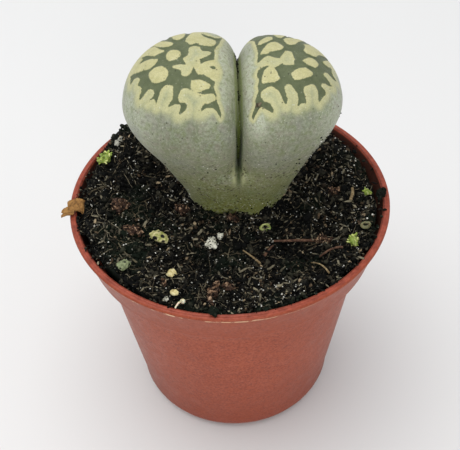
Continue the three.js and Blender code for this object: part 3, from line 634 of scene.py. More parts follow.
def soil_material(name, dark, middle, light, sparkle):
    """Damp crumb: each bit's tone from dark to light, a green film in patches, fine glints."""
    shader = Shader(name, middle, 0.85, Specular_IOR_Level=0.12)
    grain = shader.noise(2.6, 4, 0.6)
    mixed = shader.math("ADD", shader.times(shader.attribute("tone"), 0.6), shader.times(grain, 0.6))
    colour = shader.ramp(mixed, (0.3, dark), (0.68, middle), (0.95, light))
    film = shader.times(shader.step(shader.noise(0.09), 0.48, 0.6), 0.7)
    colour = shader.mix(film, colour, shader.mix(0.5, colour, rgb(24, 38, 24)))
    glints = shader.step(shader.cells(2.3), 0.17, 0.1)
    glints = shader.times(glints, shader.step(shader.noise(1.3, 2), 0.55, 0.6))
    colour = shader.tint(colour, glints, sparkle, rgb(190, 186, 172))
    return shader.finish(colour, None, shader.bump(shader.noise(5.5, 4, 0.7), 0.06, 0.7))


def add_attribute(piece, name, values):
    """A value for each point of a piece, which its material or a Geometry Nodes tree reads."""
    attribute = piece.data.attributes.new(name, "FLOAT", "POINT")
    attribute.data.foreach_set("value", np.asarray(values, np.float32))


bed_vertices, bed_faces, on_top = soil_bed()
bed = add_piece("soil_bed", bed_vertices, bed_faces)
bed_x, bed_y = bed_vertices[:, 0], bed_vertices[:, 1]
add_attribute(bed, "tone", 0.5 + 0.5 * bumps(bed_x / 0.8, bed_y / 0.8, 31))

# Where loose bits may lie, and how thickly: not on the walls nor in the neck, most by the neck
# and on the heap. Shreds gather in mats, and less so on the left. Sand gathers in patches.
inside_edge = np.clip((SOIL_EDGE - 0.1 - np.hypot(bed_x, bed_y)) / 0.2, 0, 1)
neck_gap = from_neck(bed_x, bed_y)
clear_of_neck = np.clip((neck_gap - 0.1) / 0.2, 0, 1)
heaped = np.exp(-(np.hypot(bed_x - HEAP_CENTRE[0], bed_y - HEAP_CENTRE[1]) / HEAP_SPREAD) ** 2)
thickness = 0.3 + 0.35 * np.exp(-np.maximum(neck_gap, 0) / 1.2) + 0.35 * heaped
share = on_top * inside_edge * clear_of_neck * thickness
mats = smooth_step(0.5 + bumps(bed_x / 2.6, bed_y / 2.6, 33), 0.28, 0.72)
patches = smooth_step(0.5 + bumps(bed_x / 3.4 + 7, bed_y / 3.4, 34), 0.35, 0.8)
add_attribute(bed, "share", share)
add_attribute(bed, "matted share", share * (0.12 + 1.5 * mats) * (1 - 0.45 * smooth_step(-bed_x, 6, 18)))
add_attribute(bed, "gritty share", share * (0.25 + 1.6 * patches))
crumb_stuff = soil_material("dark crumb", rgb(2, 2, 2), rgb(10, 11, 10), rgb(66, 63, 52), 0.45)
bed.data.materials.append(crumb_stuff)


def strewn(name, per_mm2, sizes, stretch, lift, rumple, seed, material, sides=0, tilt=ANY_WAY, smooth=True,
           base=bed, share="share"):
    """Loose bits strewn over a base, each turned, sized and toned its own way."""
    tree = Tree(name)
    density = tree.size("Bits to a square metre", per_mm2 / MM**2)
    smallest = tree.size("Smallest radius", sizes[0] * MM)
    largest = tree.size("Largest radius", sizes[1] * MM)
    seed_in = tree.size("Seed", seed, "NodeSocketInt")
    spots = tree.strewn_spots(tree.math("MULTIPLY", tree.named(share), density), seed_in)
    chance = tree.math("POWER", tree.random(0.0, 1.0, tree.math("ADD", seed_in, 2)), 2.0)
    beyond = tree.math("MULTIPLY", chance, tree.math("SUBTRACT", largest, smallest))
    radius = tree.math("ADD", smallest, beyond)
    spots = tree.moved(spots, tree.upwards(tree.math("MULTIPLY", radius, lift)))
    if sides:
        bit = tree.node("GeometryNodeMeshUVSphere", {"Radius": 1.0, "Segments": sides, "Rings": sides - 2})
    else:
        bit = tree.node("GeometryNodeMeshIcoSphere", {"Radius": 1.0, "Subdivisions": 1})
    turn = tree.random((-tilt, -tilt, -ANY_WAY), (tilt, tilt, ANY_WAY), tree.math("ADD", seed_in, 3))
    spread = tree.random(tuple(0.7 * s for s in stretch), tuple(1.2 * s for s in stretch),
                         tree.math("ADD", seed_in, 4))
    bits = tree.node("GeometryNodeInstanceOnPoints", {
        "Points": spots, "Instance": bit, "Rotation": turn, "Scale": tree.scaled(spread, radius)})
    bits = tree.node("GeometryNodeRealizeInstances", {0: bits})
    for cell, reach in rumple:
        bits = tree.rumple(bits, cell, reach)
    tree.finish(bits, material, smooth)
    piece = tree.grow(name, base.data)
    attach(piece, "root")


def strands(name, per_mm2, length, radius, bend, seed, material):
    """Fine fibres lying over the crumbs, bent by chance and draped on the bed."""
    tree = Tree(name)
    density = tree.size("Strands to a square metre", per_mm2 / MM**2)
    shortest = tree.size("Shortest", length[0] * MM)
    longest = tree.size("Longest", length[1] * MM)
    thickness = tree.size("Radius", radius * MM)
    seed_in = tree.size("Seed", seed, "NodeSocketInt")
    spots = tree.strewn_spots(tree.math("MULTIPLY", tree.named("share"), density), seed_in)
    line = tree.node("GeometryNodeMeshLine", {
        "Count": STRAND_POINTS, "Start Location": (-0.5, 0, 0), "Offset": (1 / (STRAND_POINTS - 1), 0, 0),
    }, mode="OFFSET")
    turn = tree.random((-0.25, -0.25, -ANY_WAY), (0.25, 0.25, ANY_WAY), tree.math("ADD", seed_in, 3))
    size = tree.random(shortest, longest, tree.math("ADD", seed_in, 4))
    lines = tree.node("GeometryNodeInstanceOnPoints", {
        "Points": spots, "Instance": line, "Rotation": turn, "Scale": tree.evenly(size)})
    lines = tree.rumple(tree.node("GeometryNodeRealizeInstances", {0: lines}), *bend)
    above = tree.vector("ADD", tree.node("GeometryNodeInputPosition"), (0, 0, DRAPED_FROM * MM))
    hit = tree.node("GeometryNodeRaycast", {
        "Target Geometry": tree.geometry, "Source Position": above, "Ray Direction": (0, 0, -1),
        "Ray Length": 0.03}, 1)
    clear = tree.random(0.1 * MM, 0.4 * MM, tree.math("ADD", seed_in, 5))
    lines = tree.node("GeometryNodeSetPosition", {
        "Geometry": lines, "Position": hit, "Offset": tree.upwards(clear)})
    curves = tree.node("GeometryNodeMeshToCurve", {0: lines})
    section = tree.node("GeometryNodeCurvePrimitiveCircle", {"Resolution": 4, "Radius": thickness})
    tubes = tree.node("GeometryNodeCurveToMesh", {
        "Curve": curves, "Profile Curve": section, "Fill Caps": True})
    tree.finish(tubes, material)
    piece = tree.grow(name, bed.data)
    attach(piece, "root")


def bit_material(name, *tones, roughness=0.8):
    """Each bit takes its tone from one end of the colours to the other, a little uneven."""
    shader = Shader(name, tones[0], roughness, Specular_IOR_Level=0.15)
    tone = shader.math("ADD", shader.attribute("tone"), shader.sway(shader.noise(3.0), 0.5))
    stops = [(i / (len(tones) - 1), colour) for i, colour in enumerate(tones)]
    return shader.finish(shader.ramp(tone, *stops), None, shader.bump(shader.noise(6.0), 0.04, 0.6))


fibre_stuff = bit_material(
    "root fibre", rgb(26, 23, 18), rgb(62, 55, 44), rgb(100, 90, 70), rgb(146, 138, 116))
bark_stuff = bit_material(
    "bark sliver", rgb(8, 7, 5), rgb(30, 25, 19), rgb(76, 61, 46), rgb(160, 142, 114))
shred_stuff = bit_material(
    "peat shred", rgb(3, 3, 3), rgb(13, 13, 11), rgb(42, 39, 31), rgb(140, 132, 110))
flake_stuff = bit_material(
    "bark flake", rgb(16, 11, 8), rgb(54, 38, 28), rgb(108, 80, 60), rgb(182, 152, 124))
grit_stuff = bit_material(
    "sand and perlite", rgb(70, 68, 62), rgb(124, 122, 112), rgb(184, 182, 172), rgb(238, 236, 228),
    roughness=0.45)
strewn("soil_clumps", per_mm2=0.55, sizes=(0.5, 1.15), stretch=(1.0, 0.85, 0.6), lift=-0.1,
       rumple=[(1.3, 0.6), (0.5, 0.4), (0.25, 0.15)], seed=9, material=crumb_stuff, sides=7)
strewn("soil_crumbs", per_mm2=3.4, sizes=(0.25, 0.7), stretch=(1.0, 0.8, 0.6), lift=0.2,
       rumple=[(0.9, 0.4), (0.35, 0.2)], seed=11, material=crumb_stuff, sides=7)
strewn("soil_grains", per_mm2=12.0, sizes=(0.1, 0.34), stretch=(1.0, 0.75, 0.6), lift=1.0,
       rumple=[(0.4, 0.16)], seed=23, material=crumb_stuff, smooth=False)
strewn("peat_shreds", per_mm2=8.0, sizes=(0.2, 0.85), stretch=(1.0, 0.26, 0.14), lift=0.7,
       rumple=[(0.6, 0.34), (0.25, 0.1)], seed=37, material=shred_stuff, sides=6, tilt=0.8,
       share="matted share")
strewn("bark_slivers", per_mm2=2.4, sizes=(0.16, 0.55), stretch=(1.0, 0.6, 0.25), lift=1.0,
       rumple=[(0.45, 0.3), (0.2, 0.1)], seed=39, material=bark_stuff, sides=6, tilt=1.2,
       share="matted share")
strewn("sand_grains", per_mm2=4.2, sizes=(0.05, 0.2), stretch=(1.0, 0.8, 0.7), lift=2.6,
       rumple=[(0.2, 0.06)], seed=41, material=grit_stuff, smooth=False, share="gritty share")
strands("root_fibres", per_mm2=1.2, length=(1.2, 4.5), radius=0.045, bend=(1.3, 0.5), seed=53,
        material=fibre_stuff)
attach(bed, "root")
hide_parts("soil")


# ------------------------------------------------------------------ lithops
# One pair of leaves, grown together below and parted above by a fissure, on a short neck
# and tap root. The skin is waxy and frosted; the tops carry pale islands on dull windows.

PLANT_GROUND = 42.4
WIDEST_LEFT = 18.2
WIDEST_RIGHT = 17.4
WIDEST_DEPTH = 12.2
WIDEST_HEIGHT = 21.8
LEFT_HEIGHT = 29.98
RIGHT_HEIGHT = 29.0
CROWN = (6.5, 0.5)
CROWN_RADIUS = (17.3, 20.0)
SHOULDER_ROUNDING = 6.5
SIDE_SLOPE = 0.85
FISSURE_BRIDGE = 0.2
FISSURE_ROUNDING = 5.0
FISSURE_LEAN = 0.027
FISSURE_LEAN_FROM = 6.5
FISSURE_LEAN_SPREAD = 4.5
CHANNEL_WIDTHS = (0.66, 0.26)
CHANNEL_DEPTHS = (3.9, 2.9)
CHANNEL_HEIGHTS = (12.0, 26.0)
FUSED_HEIGHT = 10.3
FUSED_ROUNDING = 2.2
FUSED_ROUNDING_ASIDE = 3.6
FUSED_ROUNDING_SPREAD = 4.0
SEAM_ROUNDING = 3.0
ROOT_DEPTH = 15.0
ROOT_TIP = 0.14
# The crease below the fissure: where it fades in and out, its groove and its raised edges.
CREASE_FROM = (8.0, 11.0)
CREASE_TO = (15.0, 12.5)
CREASE_WIDTH = 0.24
CREASE_DEPTH = 0.45
CREASE_EDGE = (0.72, 0.36)
CREASE_EDGE_RISE = 0.18
WINDOW_DEPTH = 0.16
WINDOW_SLOPE = 0.35
# Shallow folds and swellings of the front flank: x, height, half width, half height and depth.
FOLDS = [(-6.8, 22.8, 0.7, 3.0, 0.8), (-8.7, 23.4, 0.9, 2.4, -0.22), (-4.6, 24.6, 1.2, 2.4, -0.16),
         (4.6, 23.6, 0.8, 2.2, 0.16), (9.8, 22.6, 1.0, 2.4, 0.14), (-11.2, 22.4, 0.9, 2.2, 0.16)]
# The skin is cast on a net of rays from a point in the neck, closer together on the faces.
CAST_FROM = -1.5
CAST_STEP = 0.25
CAST_HALVINGS = 26
SKIN_ROWS = 261
SKIN_COLUMNS = 330
ROW_GATHERING = (0.66, 36, 90)
COLUMN_GATHERING = (0.55, 34, 180)


def smooth_max(a, b, blend):
    """The larger of two, with the step between them rounded over a range of blend."""
    overlap = np.maximum(blend - np.abs(a - b), 0) / blend
    return np.maximum(a, b) + overlap**2 * blend / 4


def leaf_pair_field(x, y, z):
    """Below zero inside the plant, and about the distance in millimetres outside it."""
    flare = smooth_step(z, 0, WIDEST_HEIGHT)
    taper = 1 + (ROOT_TIP - 1) * np.clip(-z / ROOT_DEPTH, 0, 1)
    widest = np.where(x < 0, WIDEST_LEFT, WIDEST_RIGHT)
    half_width = (NECK[0] + (widest - NECK[0]) * flare) * taper
    half_depth = (NECK[1] + (WIDEST_DEPTH - NECK[1]) * flare) * taper
    reach = oval_reach(x / half_width, y / half_depth)
    side = np.hypot(x, y) * (1 - 1 / np.maximum(reach, 1e-6)) * SIDE_SLOPE
    across = np.abs(x) - CROWN[0]
    along = y - CROWN[1]
    height = np.where(x < 0, LEFT_HEIGHT, RIGHT_HEIGHT)
    top = z - height + across**2 / (2 * CROWN_RADIUS[0]) + along**2 / (2 * CROWN_RADIUS[1])
    leaf = smooth_max(side, top, SHOULDER_ROUNDING)
    parted = smooth_max(leaf, -FISSURE_BRIDGE - np.abs(x), FISSURE_ROUNDING)
    up = np.clip((z - CHANNEL_HEIGHTS[0]) / (CHANNEL_HEIGHTS[1] - CHANNEL_HEIGHTS[0]), 0, 1)
    channel_width = CHANNEL_WIDTHS[0] + (CHANNEL_WIDTHS[1] - CHANNEL_WIDTHS[0]) * up
    channel_depth = CHANNEL_DEPTHS[0] + (CHANNEL_DEPTHS[1] - CHANNEL_DEPTHS[0]) * up
    parted = np.maximum(parted, np.minimum(channel_width / 2 - np.abs(x), leaf + channel_depth))
    rounding = FUSED_ROUNDING + FUSED_ROUNDING_ASIDE * (1 - np.exp(-((x / FUSED_ROUNDING_SPREAD) ** 2)))
    fused = smooth_max(side, z - FUSED_HEIGHT, rounding)
    body = -smooth_max(-parted, -fused, SEAM_ROUNDING)
    return smooth_max(body, -ROOT_DEPTH - z, 1.0)


def cast(direction):
    """How far the skin lies from the casting point along each direction."""
    near = np.zeros(len(direction))
    far = np.zeros(len(direction))
    open_rays = np.ones(len(direction), bool)

    def outside(distance):
        p = direction * distance[:, None]
        return leaf_pair_field(p[:, 0], p[:, 1], p[:, 2] + CAST_FROM) > 0

    while open_rays.any():
        near = np.where(open_rays, far, near)
        far = np.where(open_rays, far + CAST_STEP, far)
        open_rays &= ~outside(far)
    for _ in range(CAST_HALVINGS):
        middle = (near + far) / 2
        out = outside(middle)
        far = np.where(out, middle, far)
        near = np.where(out, near, middle)
    return near


def gathered(share, face_share, face_angle, whole_angle):
    """Shares from -1 to 1 as angles, with face_share of them spent on the first face_angle degrees."""
    size = np.abs(share)
    on_face = face_angle * size / face_share
    beyond = face_angle + (whole_angle - face_angle) * (size - face_share) / (1 - face_share)
    return np.sign(share) * np.radians(np.where(size < face_share, on_face, beyond))


FACE_CENTRE = (7.5, 0.5, 12.0)
FACE_RADIUS = 15.0
SPOT = (3.6, -3.42)
SPOT_RADIUS = 0.42
SPOT_FLATNESS = 1.4
CREAM_PATCH = (2.9, -3.9)
CREAM_PATCH_RADIUS = 1.5
# The windows' outer outline on each leaf and the islands inside it, in millimetres over the face.
LEFT_OUTLINE = [
    (2.6, 5.9), (2.1, 4.6), (3.0, 3.8), (3.9, 3.5), (4.4, 3.8), (5.1, 5.1), (5.0, 4.1), (4.7, 2.9),
    (4.5, 1.9), (3.9, 0.3), (3.8, -0.2), (3.9, -0.5), (3.8, -2.0), (2.6, -2.6), (2.0, -3.1), (1.9, -2.1),
    (2.7, -1.6), (3.2, -1.1), (3.4, -0.7), (3.1, -0.5), (2.2, -0.5), (1.9, 0.4), (1.5, 0.6), (1.1, 0.6),
    (0.7, 0.4), (0.5, -0.2), (0.6, -0.7), (0.4, -1.4), (-0.2, -1.9), (0.3, -3.1), (-0.1, -3.1), (-0.5, -2.9),
    (-1.5, -3.0), (-1.5, -3.3), (-0.6, -3.8), (-0.3, -4.2), (-0.4, -4.6), (-0.1, -4.9), (0.3, -4.9),
    (0.7, -4.6), (0.9, -4.1), (1.0, -3.7), (1.2, -3.5), (1.7, -4.7), (2.0, -4.7), (2.3, -4.6), (3.8, -5.6),
    (3.9, -5.9), (3.7, -6.4), (4.1, -7.3), (4.2, -8.0), (5.0, -9.6), (5.0, -10.1), (4.9, -10.2), (4.2, -9.4),
    (3.8, -9.1), (2.8, -9.2), (2.1, -9.6), (2.1, -9.2), (2.3, -8.9), (2.5, -8.6), (2.9, -8.6), (3.7, -8.2),
    (4.0, -7.9), (3.9, -7.5), (3.6, -7.3), (2.3, -7.5), (1.7, -7.4), (0.4, -6.7), (-0.1, -6.6), (-0.5, -6.8),
    (-0.9, -7.6), (-0.9, -8.0), (-0.7, -8.3), (0.0, -8.4), (0.2, -8.7), (0.2, -9.1), (0.0, -9.4),
    (-0.8, -9.9), (-1.0, -9.7), (-0.9, -9.3), (-0.7, -9.0), (-0.7, -8.7), (-1.1, -8.5), (-1.5, -8.5),
    (-2.3, -8.7), (-2.6, -8.6), (-1.8, -7.8), (-1.6, -7.2), (-1.6, -6.1), (-1.9, -5.9), (-2.4, -5.8),
    (-2.8, -5.9), (-3.2, -6.2), (-4.2, -7.9), (-4.4, -7.1), (-4.9, -7.0), (-5.5, -7.2), (-5.0, -6.8),
    (-4.5, -6.7), (-4.3, -6.3), (-4.4, -5.8), (-4.7, -5.6), (-5.1, -5.5), (-6.3, -6.1), (-6.7, -6.2),
    (-7.0, -6.1), (-7.0, -5.8), (-6.6, -5.4), (-6.3, -4.8), (-6.4, -4.4), (-7.0, -3.8), (-6.4, -3.1),
    (-6.6, -2.7), (-7.1, -2.3), (-7.7, -2.2), (-8.5, -2.6), (-8.6, -1.9), (-8.5, -0.9), (-9.1, 0.2),
    (-8.9, 1.5), (-8.0, 3.2), (-7.0, 4.6), (-6.3, 4.1), (-5.7, 5.5), (-4.6, 6.6), (-4.0, 5.6), (-3.4, 5.7),
    (-3.0, 7.2), (-1.8, 7.8), (-1.3, 6.5), (-0.5, 6.4), (0.2, 8.0), (1.6, 8.2), (2.1, 6.8), (2.9, 6.8),
    (3.6, 7.4), (4.6, 6.2),
]
LEFT_ISLANDS = [
    [(-2.4, -0.7), (-2.2, -0.1), (-1.9, 0.2), (-1.4, 0.2), (-0.8, -0.1), (-0.5, -0.6), (-0.5, -1.1),
     (-0.7, -1.5), (-1.1, -1.9), (-1.9, -2.0), (-2.3, -1.5)],
    [(-4.8, -2.9), (-4.0, -2.5), (-3.5, -2.5), (-3.0, -2.6), (-2.5, -3.1), (-2.2, -3.6), (-2.1, -4.1),
     (-2.3, -4.7), (-2.6, -5.0), (-3.2, -5.1), (-3.8, -5.1), (-4.4, -4.7), (-4.7, -4.1), (-4.9, -3.4)],
    [(0.8, -5.8), (0.9, -5.6), (1.7, -5.5), (2.2, -5.6), (3.2, -6.1), (3.2, -6.4), (3.0, -6.7), (2.5, -6.8),
     (2.1, -7.1), (1.6, -7.2), (1.2, -7.1), (0.8, -6.5)],
    [(1.5, 8.1), (0.8, 4.7), (0.2, 2.8), (0.1, 2.0), (0.8, 1.0), (1.5, 1.5), (2.0, 1.0), (2.4, 0.8),
     (3.4, 0.8), (3.8, 1.2), (4.1, 2.0), (4.0, 2.6), (2.9, 3.0), (2.4, 3.4), (2.0, 4.6), (3.3, 7.8)],
    [(-2.9, 7.3), (-1.7, 4.1), (-1.6, 3.3), (-1.0, 2.7), (-0.6, 2.8), (-0.2, 3.4), (0.0, 4.1), (-0.2, 7.1)],
    [(-6.0, 5.7), (-4.2, 3.1), (-3.6, 2.1), (-2.7, 1.4), (-2.1, 1.3), (-1.7, 1.4), (-1.5, 1.8), (-1.8, 2.3),
     (-2.5, 3.0), (-3.2, 3.8), (-4.9, 6.5)],
    [(-8.2, 3.1), (-5.3, 1.2), (-4.1, 0.0), (-2.7, 0.3), (-2.8, 0.6), (-3.3, 1.1), (-4.3, 2.8), (-6.3, 5.2)],
    [(-10.7, -0.2), (-8.2, -0.5), (-6.7, -1.5), (-5.0, -2.2), (-4.5, -2.2), (-4.0, -1.9), (-3.6, -1.4),
     (-3.6, -1.0), (-4.7, -0.3), (-6.8, 0.3), (-6.1, 0.8), (-6.2, 1.5), (-7.7, 2.7), (-9.9, 2.7)],
]
RIGHT_OUTLINE = [
    (-4.6, 5.9), (-3.7, 4.0), (-3.3, 0.1), (-3.6, -1.8), (-3.4, -2.1), (-2.3, -1.1), (-1.9, -1.0),
    (-1.2, -1.5), (-0.4, -1.7), (0.2, -0.5), (0.5, 0.0), (0.9, 0.0), (1.3, -0.2), (1.6, -1.9), (1.4, -2.3),
    (1.5, -2.8), (0.4, -3.0), (0.1, -2.9), (-0.2, -2.6), (-0.9, -3.2), (-1.3, -3.4), (-2.2, -2.9),
    (-3.1, -3.1), (-3.5, -3.4), (-3.8, -4.2), (-3.5, -5.1), (-3.8, -6.1), (-3.7, -6.6), (-4.4, -8.0),
    (-4.3, -8.4), (-5.2, -9.7), (-5.3, -10.1), (-5.1, -10.4), (-3.8, -9.1), (-3.5, -9.0), (-2.1, -10.0),
    (-1.9, -9.9), (-1.8, -9.6), (-2.2, -8.7), (-2.5, -8.5), (-2.9, -8.4), (-3.2, -8.0), (-3.4, -7.6),
    (-3.4, -7.2), (-3.2, -6.9), (-2.4, -6.5), (-1.9, -6.4), (-1.6, -6.6), (-0.9, -7.2), (-0.3, -8.7),
    (-0.1, -9.0), (0.1, -8.9), (0.3, -8.3), (0.0, -7.3), (-0.1, -6.6), (0.2, -6.3), (0.5, -6.2), (0.8, -6.3),
    (1.7, -7.5), (1.8, -8.1), (1.6, -9.1), (1.9, -9.1), (2.2, -8.7), (2.6, -8.6), (3.0, -8.6), (3.1, -8.2),
    (2.6, -6.8), (2.7, -6.3), (3.7, -5.7), (4.2, -5.6), (4.6, -5.9), (4.9, -6.4), (5.1, -7.8), (5.3, -8.0),
    (5.9, -7.0), (6.3, -6.5), (6.5, -6.0), (6.3, -5.7), (5.6, -5.4), (5.5, -5.0), (5.8, -4.8), (6.3, -4.6),
    (6.8, -4.7), (7.3, -4.5), (8.0, -4.1), (7.4, -4.0), (6.6, -3.4), (6.2, -3.3), (6.0, -3.0), (6.2, -2.6),
    (6.7, -2.3), (8.1, -2.6), (9.3, -2.1), (8.2, -1.5), (7.9, -0.9), (8.2, 0.3), (9.7, 1.2), (9.2, 2.6),
    (8.0, 4.2), (7.2, 3.9), (6.8, 5.4), (5.6, 6.4), (5.1, 5.4), (4.5, 5.6), (4.0, 7.2), (2.8, 7.8),
    (2.2, 6.6), (1.5, 6.7), (1.0, 8.0), (-0.6, 8.2), (-1.0, 6.9), (-1.8, 6.8), (-2.6, 7.6), (-3.6, 6.4),
]
RIGHT_ISLANDS = [
    [(10.3, 0.9), (7.8, 0.0), (7.1, -0.5), (6.5, -0.5), (6.1, -0.2), (7.7, 2.0), (9.8, 3.2)],
    [(7.9, 3.3), (5.5, 1.1), (4.9, 0.1), (4.4, 0.0), (3.4, 0.2), (3.1, 0.7), (3.5, 1.9), (3.3, 2.7),
     (5.6, 4.8)],
    [(4.2, 5.9), (2.5, 3.1), (2.0, 2.1), (1.5, 1.7), (0.9, 1.8), (0.4, 3.2), (0.8, 3.9), (1.4, 4.3),
     (2.3, 4.5), (3.8, 7.1)],
    [(-1.0, 8.0), (-0.7, 5.1), (-0.4, 4.1), (0.0, 3.8), (0.4, 4.3), (0.8, 5.3), (1.3, 8.2)],
    [(-3.2, 2.3), (-2.8, 2.1), (-1.6, 2.9), (-1.1, 3.4), (-1.1, 4.3), (-1.7, 4.5), (-2.4, 3.8), (-2.9, 3.3),
     (-3.1, 2.8)],
    [(-2.9, -0.4), (-2.0, -0.5), (-1.7, -0.1), (-1.4, 0.0), (-0.3, 0.2), (0.1, 0.6), (0.3, 0.9), (0.1, 1.4),
     (-0.4, 2.1), (-0.8, 2.5), (-1.4, 2.4), (-1.9, 1.9), (-3.0, -0.2)],
    [(-2.0, -3.1), (-1.6, -3.1), (-1.3, -3.5), (-0.9, -4.4), (-0.8, -5.0), (-0.6, -5.3), (-1.4, -5.8),
     (-2.8, -5.8), (-3.1, -5.6), (-3.0, -4.7), (-2.8, -4.3), (-2.7, -3.8)],
    [(2.7, -1.8), (3.1, -1.4), (3.7, -0.8), (4.3, -0.7), (4.8, -0.9), (5.2, -1.4), (5.0, -2.0), (4.6, -2.5),
     (3.9, -2.5), (3.3, -2.3)],
    [(0.9, -4.5), (1.6, -3.8), (2.2, -3.4), (3.1, -3.1), (4.0, -3.6), (4.1, -3.9), (3.7, -4.4), (1.9, -5.4),
     (1.4, -5.4), (1.1, -5.0)],
]
# Painted highlight along the fissure's upper edges: side, strength, heights, and distances from
# the middle between which it fades in and out.
PAINTED_FISSURE_HIGHLIGHTS = [(1, 1.2, (20, 24), (0.5, 1.6), (5.5, 3.0)), (-1, 0.8, (23, 27), (1.2, 2.4), (6, 4.5))]


def outline_distance(u, v, outline):
    """Distance to an outline, below zero inside it."""
    nearest = np.full_like(u, np.inf)
    inside = np.zeros(u.shape, bool)
    for (ax, ay), (bx, by) in zip(outline, outline[1:] + outline[:1]):
        length = (bx - ax) ** 2 + (by - ay) ** 2
        t = np.clip(((u - ax) * (bx - ax) + (v - ay) * (by - ay)) / length, 0, 1)
        nearest = np.minimum(nearest, np.hypot(u - ax - t * (bx - ax), v - ay - t * (by - ay)))
        if by != ay:
            crosses = ((ay > v) != (by > v)) & (u < ax + (v - ay) / (by - ay) * (bx - ax))
            inside ^= crosses
    return np.where(inside, -nearest, nearest)


def face_place(point):
    """Where a point lies over its leaf's face, in millimetres from the middle of the crown."""
    side = np.where(point[:, 0] < 0, -1.0, 1.0)
    ones = np.ones(len(point))
    ray = point - np.stack([side * FACE_CENTRE[0], ones * FACE_CENTRE[1], ones * FACE_CENTRE[2]], 1)
    ray /= np.linalg.norm(ray, axis=1, keepdims=True)
    fall = FACE_RADIUS * np.arccos(np.clip(ray[:, 2], -1, 1))
    turn_angle = np.arctan2(ray[:, 1], ray[:, 0])
    return fall * np.cos(turn_angle), fall * np.sin(turn_angle)


def face_depths(point):
    """How deep each point lies inside a window, and inside the windows' outline, in millimetres."""
    u, v = face_place(point)
    depth = np.empty(len(point))
    inside = np.empty(len(point))
    for leaf, outline, islands in ((point[:, 0] < 0, LEFT_OUTLINE, LEFT_ISLANDS),
                                   (point[:, 0] >= 0, RIGHT_OUTLINE, RIGHT_ISLANDS)):
        inside[leaf] = -outline_distance(u[leaf], v[leaf], outline)
        here = inside[leaf]
        for island in islands:
            here = np.minimum(here, outline_distance(u[leaf], v[leaf], island))
        depth[leaf] = here
    on_left = point[:, 0] < 0
    spot = SPOT_RADIUS - np.hypot(u - SPOT[0], SPOT_FLATNESS * (v - SPOT[1]))
    patch = CREAM_PATCH_RADIUS - np.hypot(u - CREAM_PATCH[0], 0.8 * (v - CREAM_PATCH[1]))
    depth = np.where(on_left, np.maximum(depth, spot), depth)
    inside = np.where(on_left, np.maximum(inside, np.minimum(patch, 0.1)), inside)
    return depth, inside


def casting_directions(rows, columns):
    """Rays row by row from the left pole to the right one, and round the X axis in each row."""
    row_share = np.linspace(-1, 1, rows + 2)[1:-1]
    tilt = gathered(np.sign(row_share) * np.abs(row_share) ** 1.15, *ROW_GATHERING)
    lean = gathered(np.linspace(-1, 1, columns, endpoint=False), *COLUMN_GATHERING)
    tilt_grid, lean_grid = np.meshgrid(tilt, lean, indexing="ij")
    tilt_all = np.concatenate([[-math.pi / 2], tilt_grid.ravel(), [math.pi / 2]])
    lean_all = np.concatenate([[0], lean_grid.ravel(), [0]])
    out = np.cos(tilt_all)
    return np.stack([np.sin(tilt_all), out * np.sin(lean_all), out * np.cos(lean_all)], 1)


def net_faces(rows, columns):
    """Faces between the rows of the net and round its two poles."""
    faces = []
    for row in range(rows - 1):
        base = 1 + row * columns
        for column in range(columns):
            after = (column + 1) % columns
            faces.append((base + column, base + columns + column, base + columns + after, base + after))
    last = 1 + rows * columns
    for column in range(columns):
        after = (column + 1) % columns
        faces.append((0, 1 + column, 1 + after))
        faces.append((last, last - columns + after, last - columns + column))
    return faces


def dirt_in_cleft(point, cleft):
    """Where crumbs have fallen into the fissure: a few on its walls, most at its foot and far end."""
    x, y, z = point.T
    uneven = 0.5 + bumps(y / 1.6, z / 1.6, 62)
    on_walls = 0.4 * (cleft < 0.12) * (z > FUSED_HEIGHT) * smooth_step(uneven, 0.45, 0.7)
    at_foot = (z > 8.5) * (z < 11.6) * (np.abs(y) < 6)
    at_far_end = (z > 20) * (y > 0)
    return on_walls + (cleft < 0.3) * (at_foot + at_far_end)


def dirt_on_skin(point):
    """Where crumbs cling: on the neck towards the right, a splash above it, and thinly low down."""
    x, y, z = point.T
    uneven = 0.5 + bumps(x / 0.9, z / 0.9, 61)
    splashed = smooth_step(0.5 + bumps(y / 1.6, z / 1.6, 62), 0.62, 0.75)
    on_neck = (z > -0.5) * smooth_step(x, -3, 5) * np.exp(-np.maximum(z - 0.8, 0) / 1.6) * (uneven**2)
    splash = 0.25 * (x > 9) * (y < -3) * (y > -9.0) * (z > 8) * (z < 23) * splashed
    return on_neck + splash + 0.02 * (z > -0.5) * (z < 16)


def painted_sheen_and_highlight(point, off_middle):
    """Where light is painted on the skin: painted sheen on the outer shoulders and a painted highlight along
    the fissure's upper edges.
    """
    x, _, z = point.T
    pale = smooth_step(off_middle, 10.5, 16.5) * smooth_step(z, 10, 19)
    for side, strength, heights, fade_in, fade_out in PAINTED_FISSURE_HIGHLIGHTS:
        band = smooth_step(off_middle, *fade_in) * smooth_step(off_middle, *fade_out)
        pale += strength * smooth_step(z, *heights) * band * (side * x > 0)
    return pale


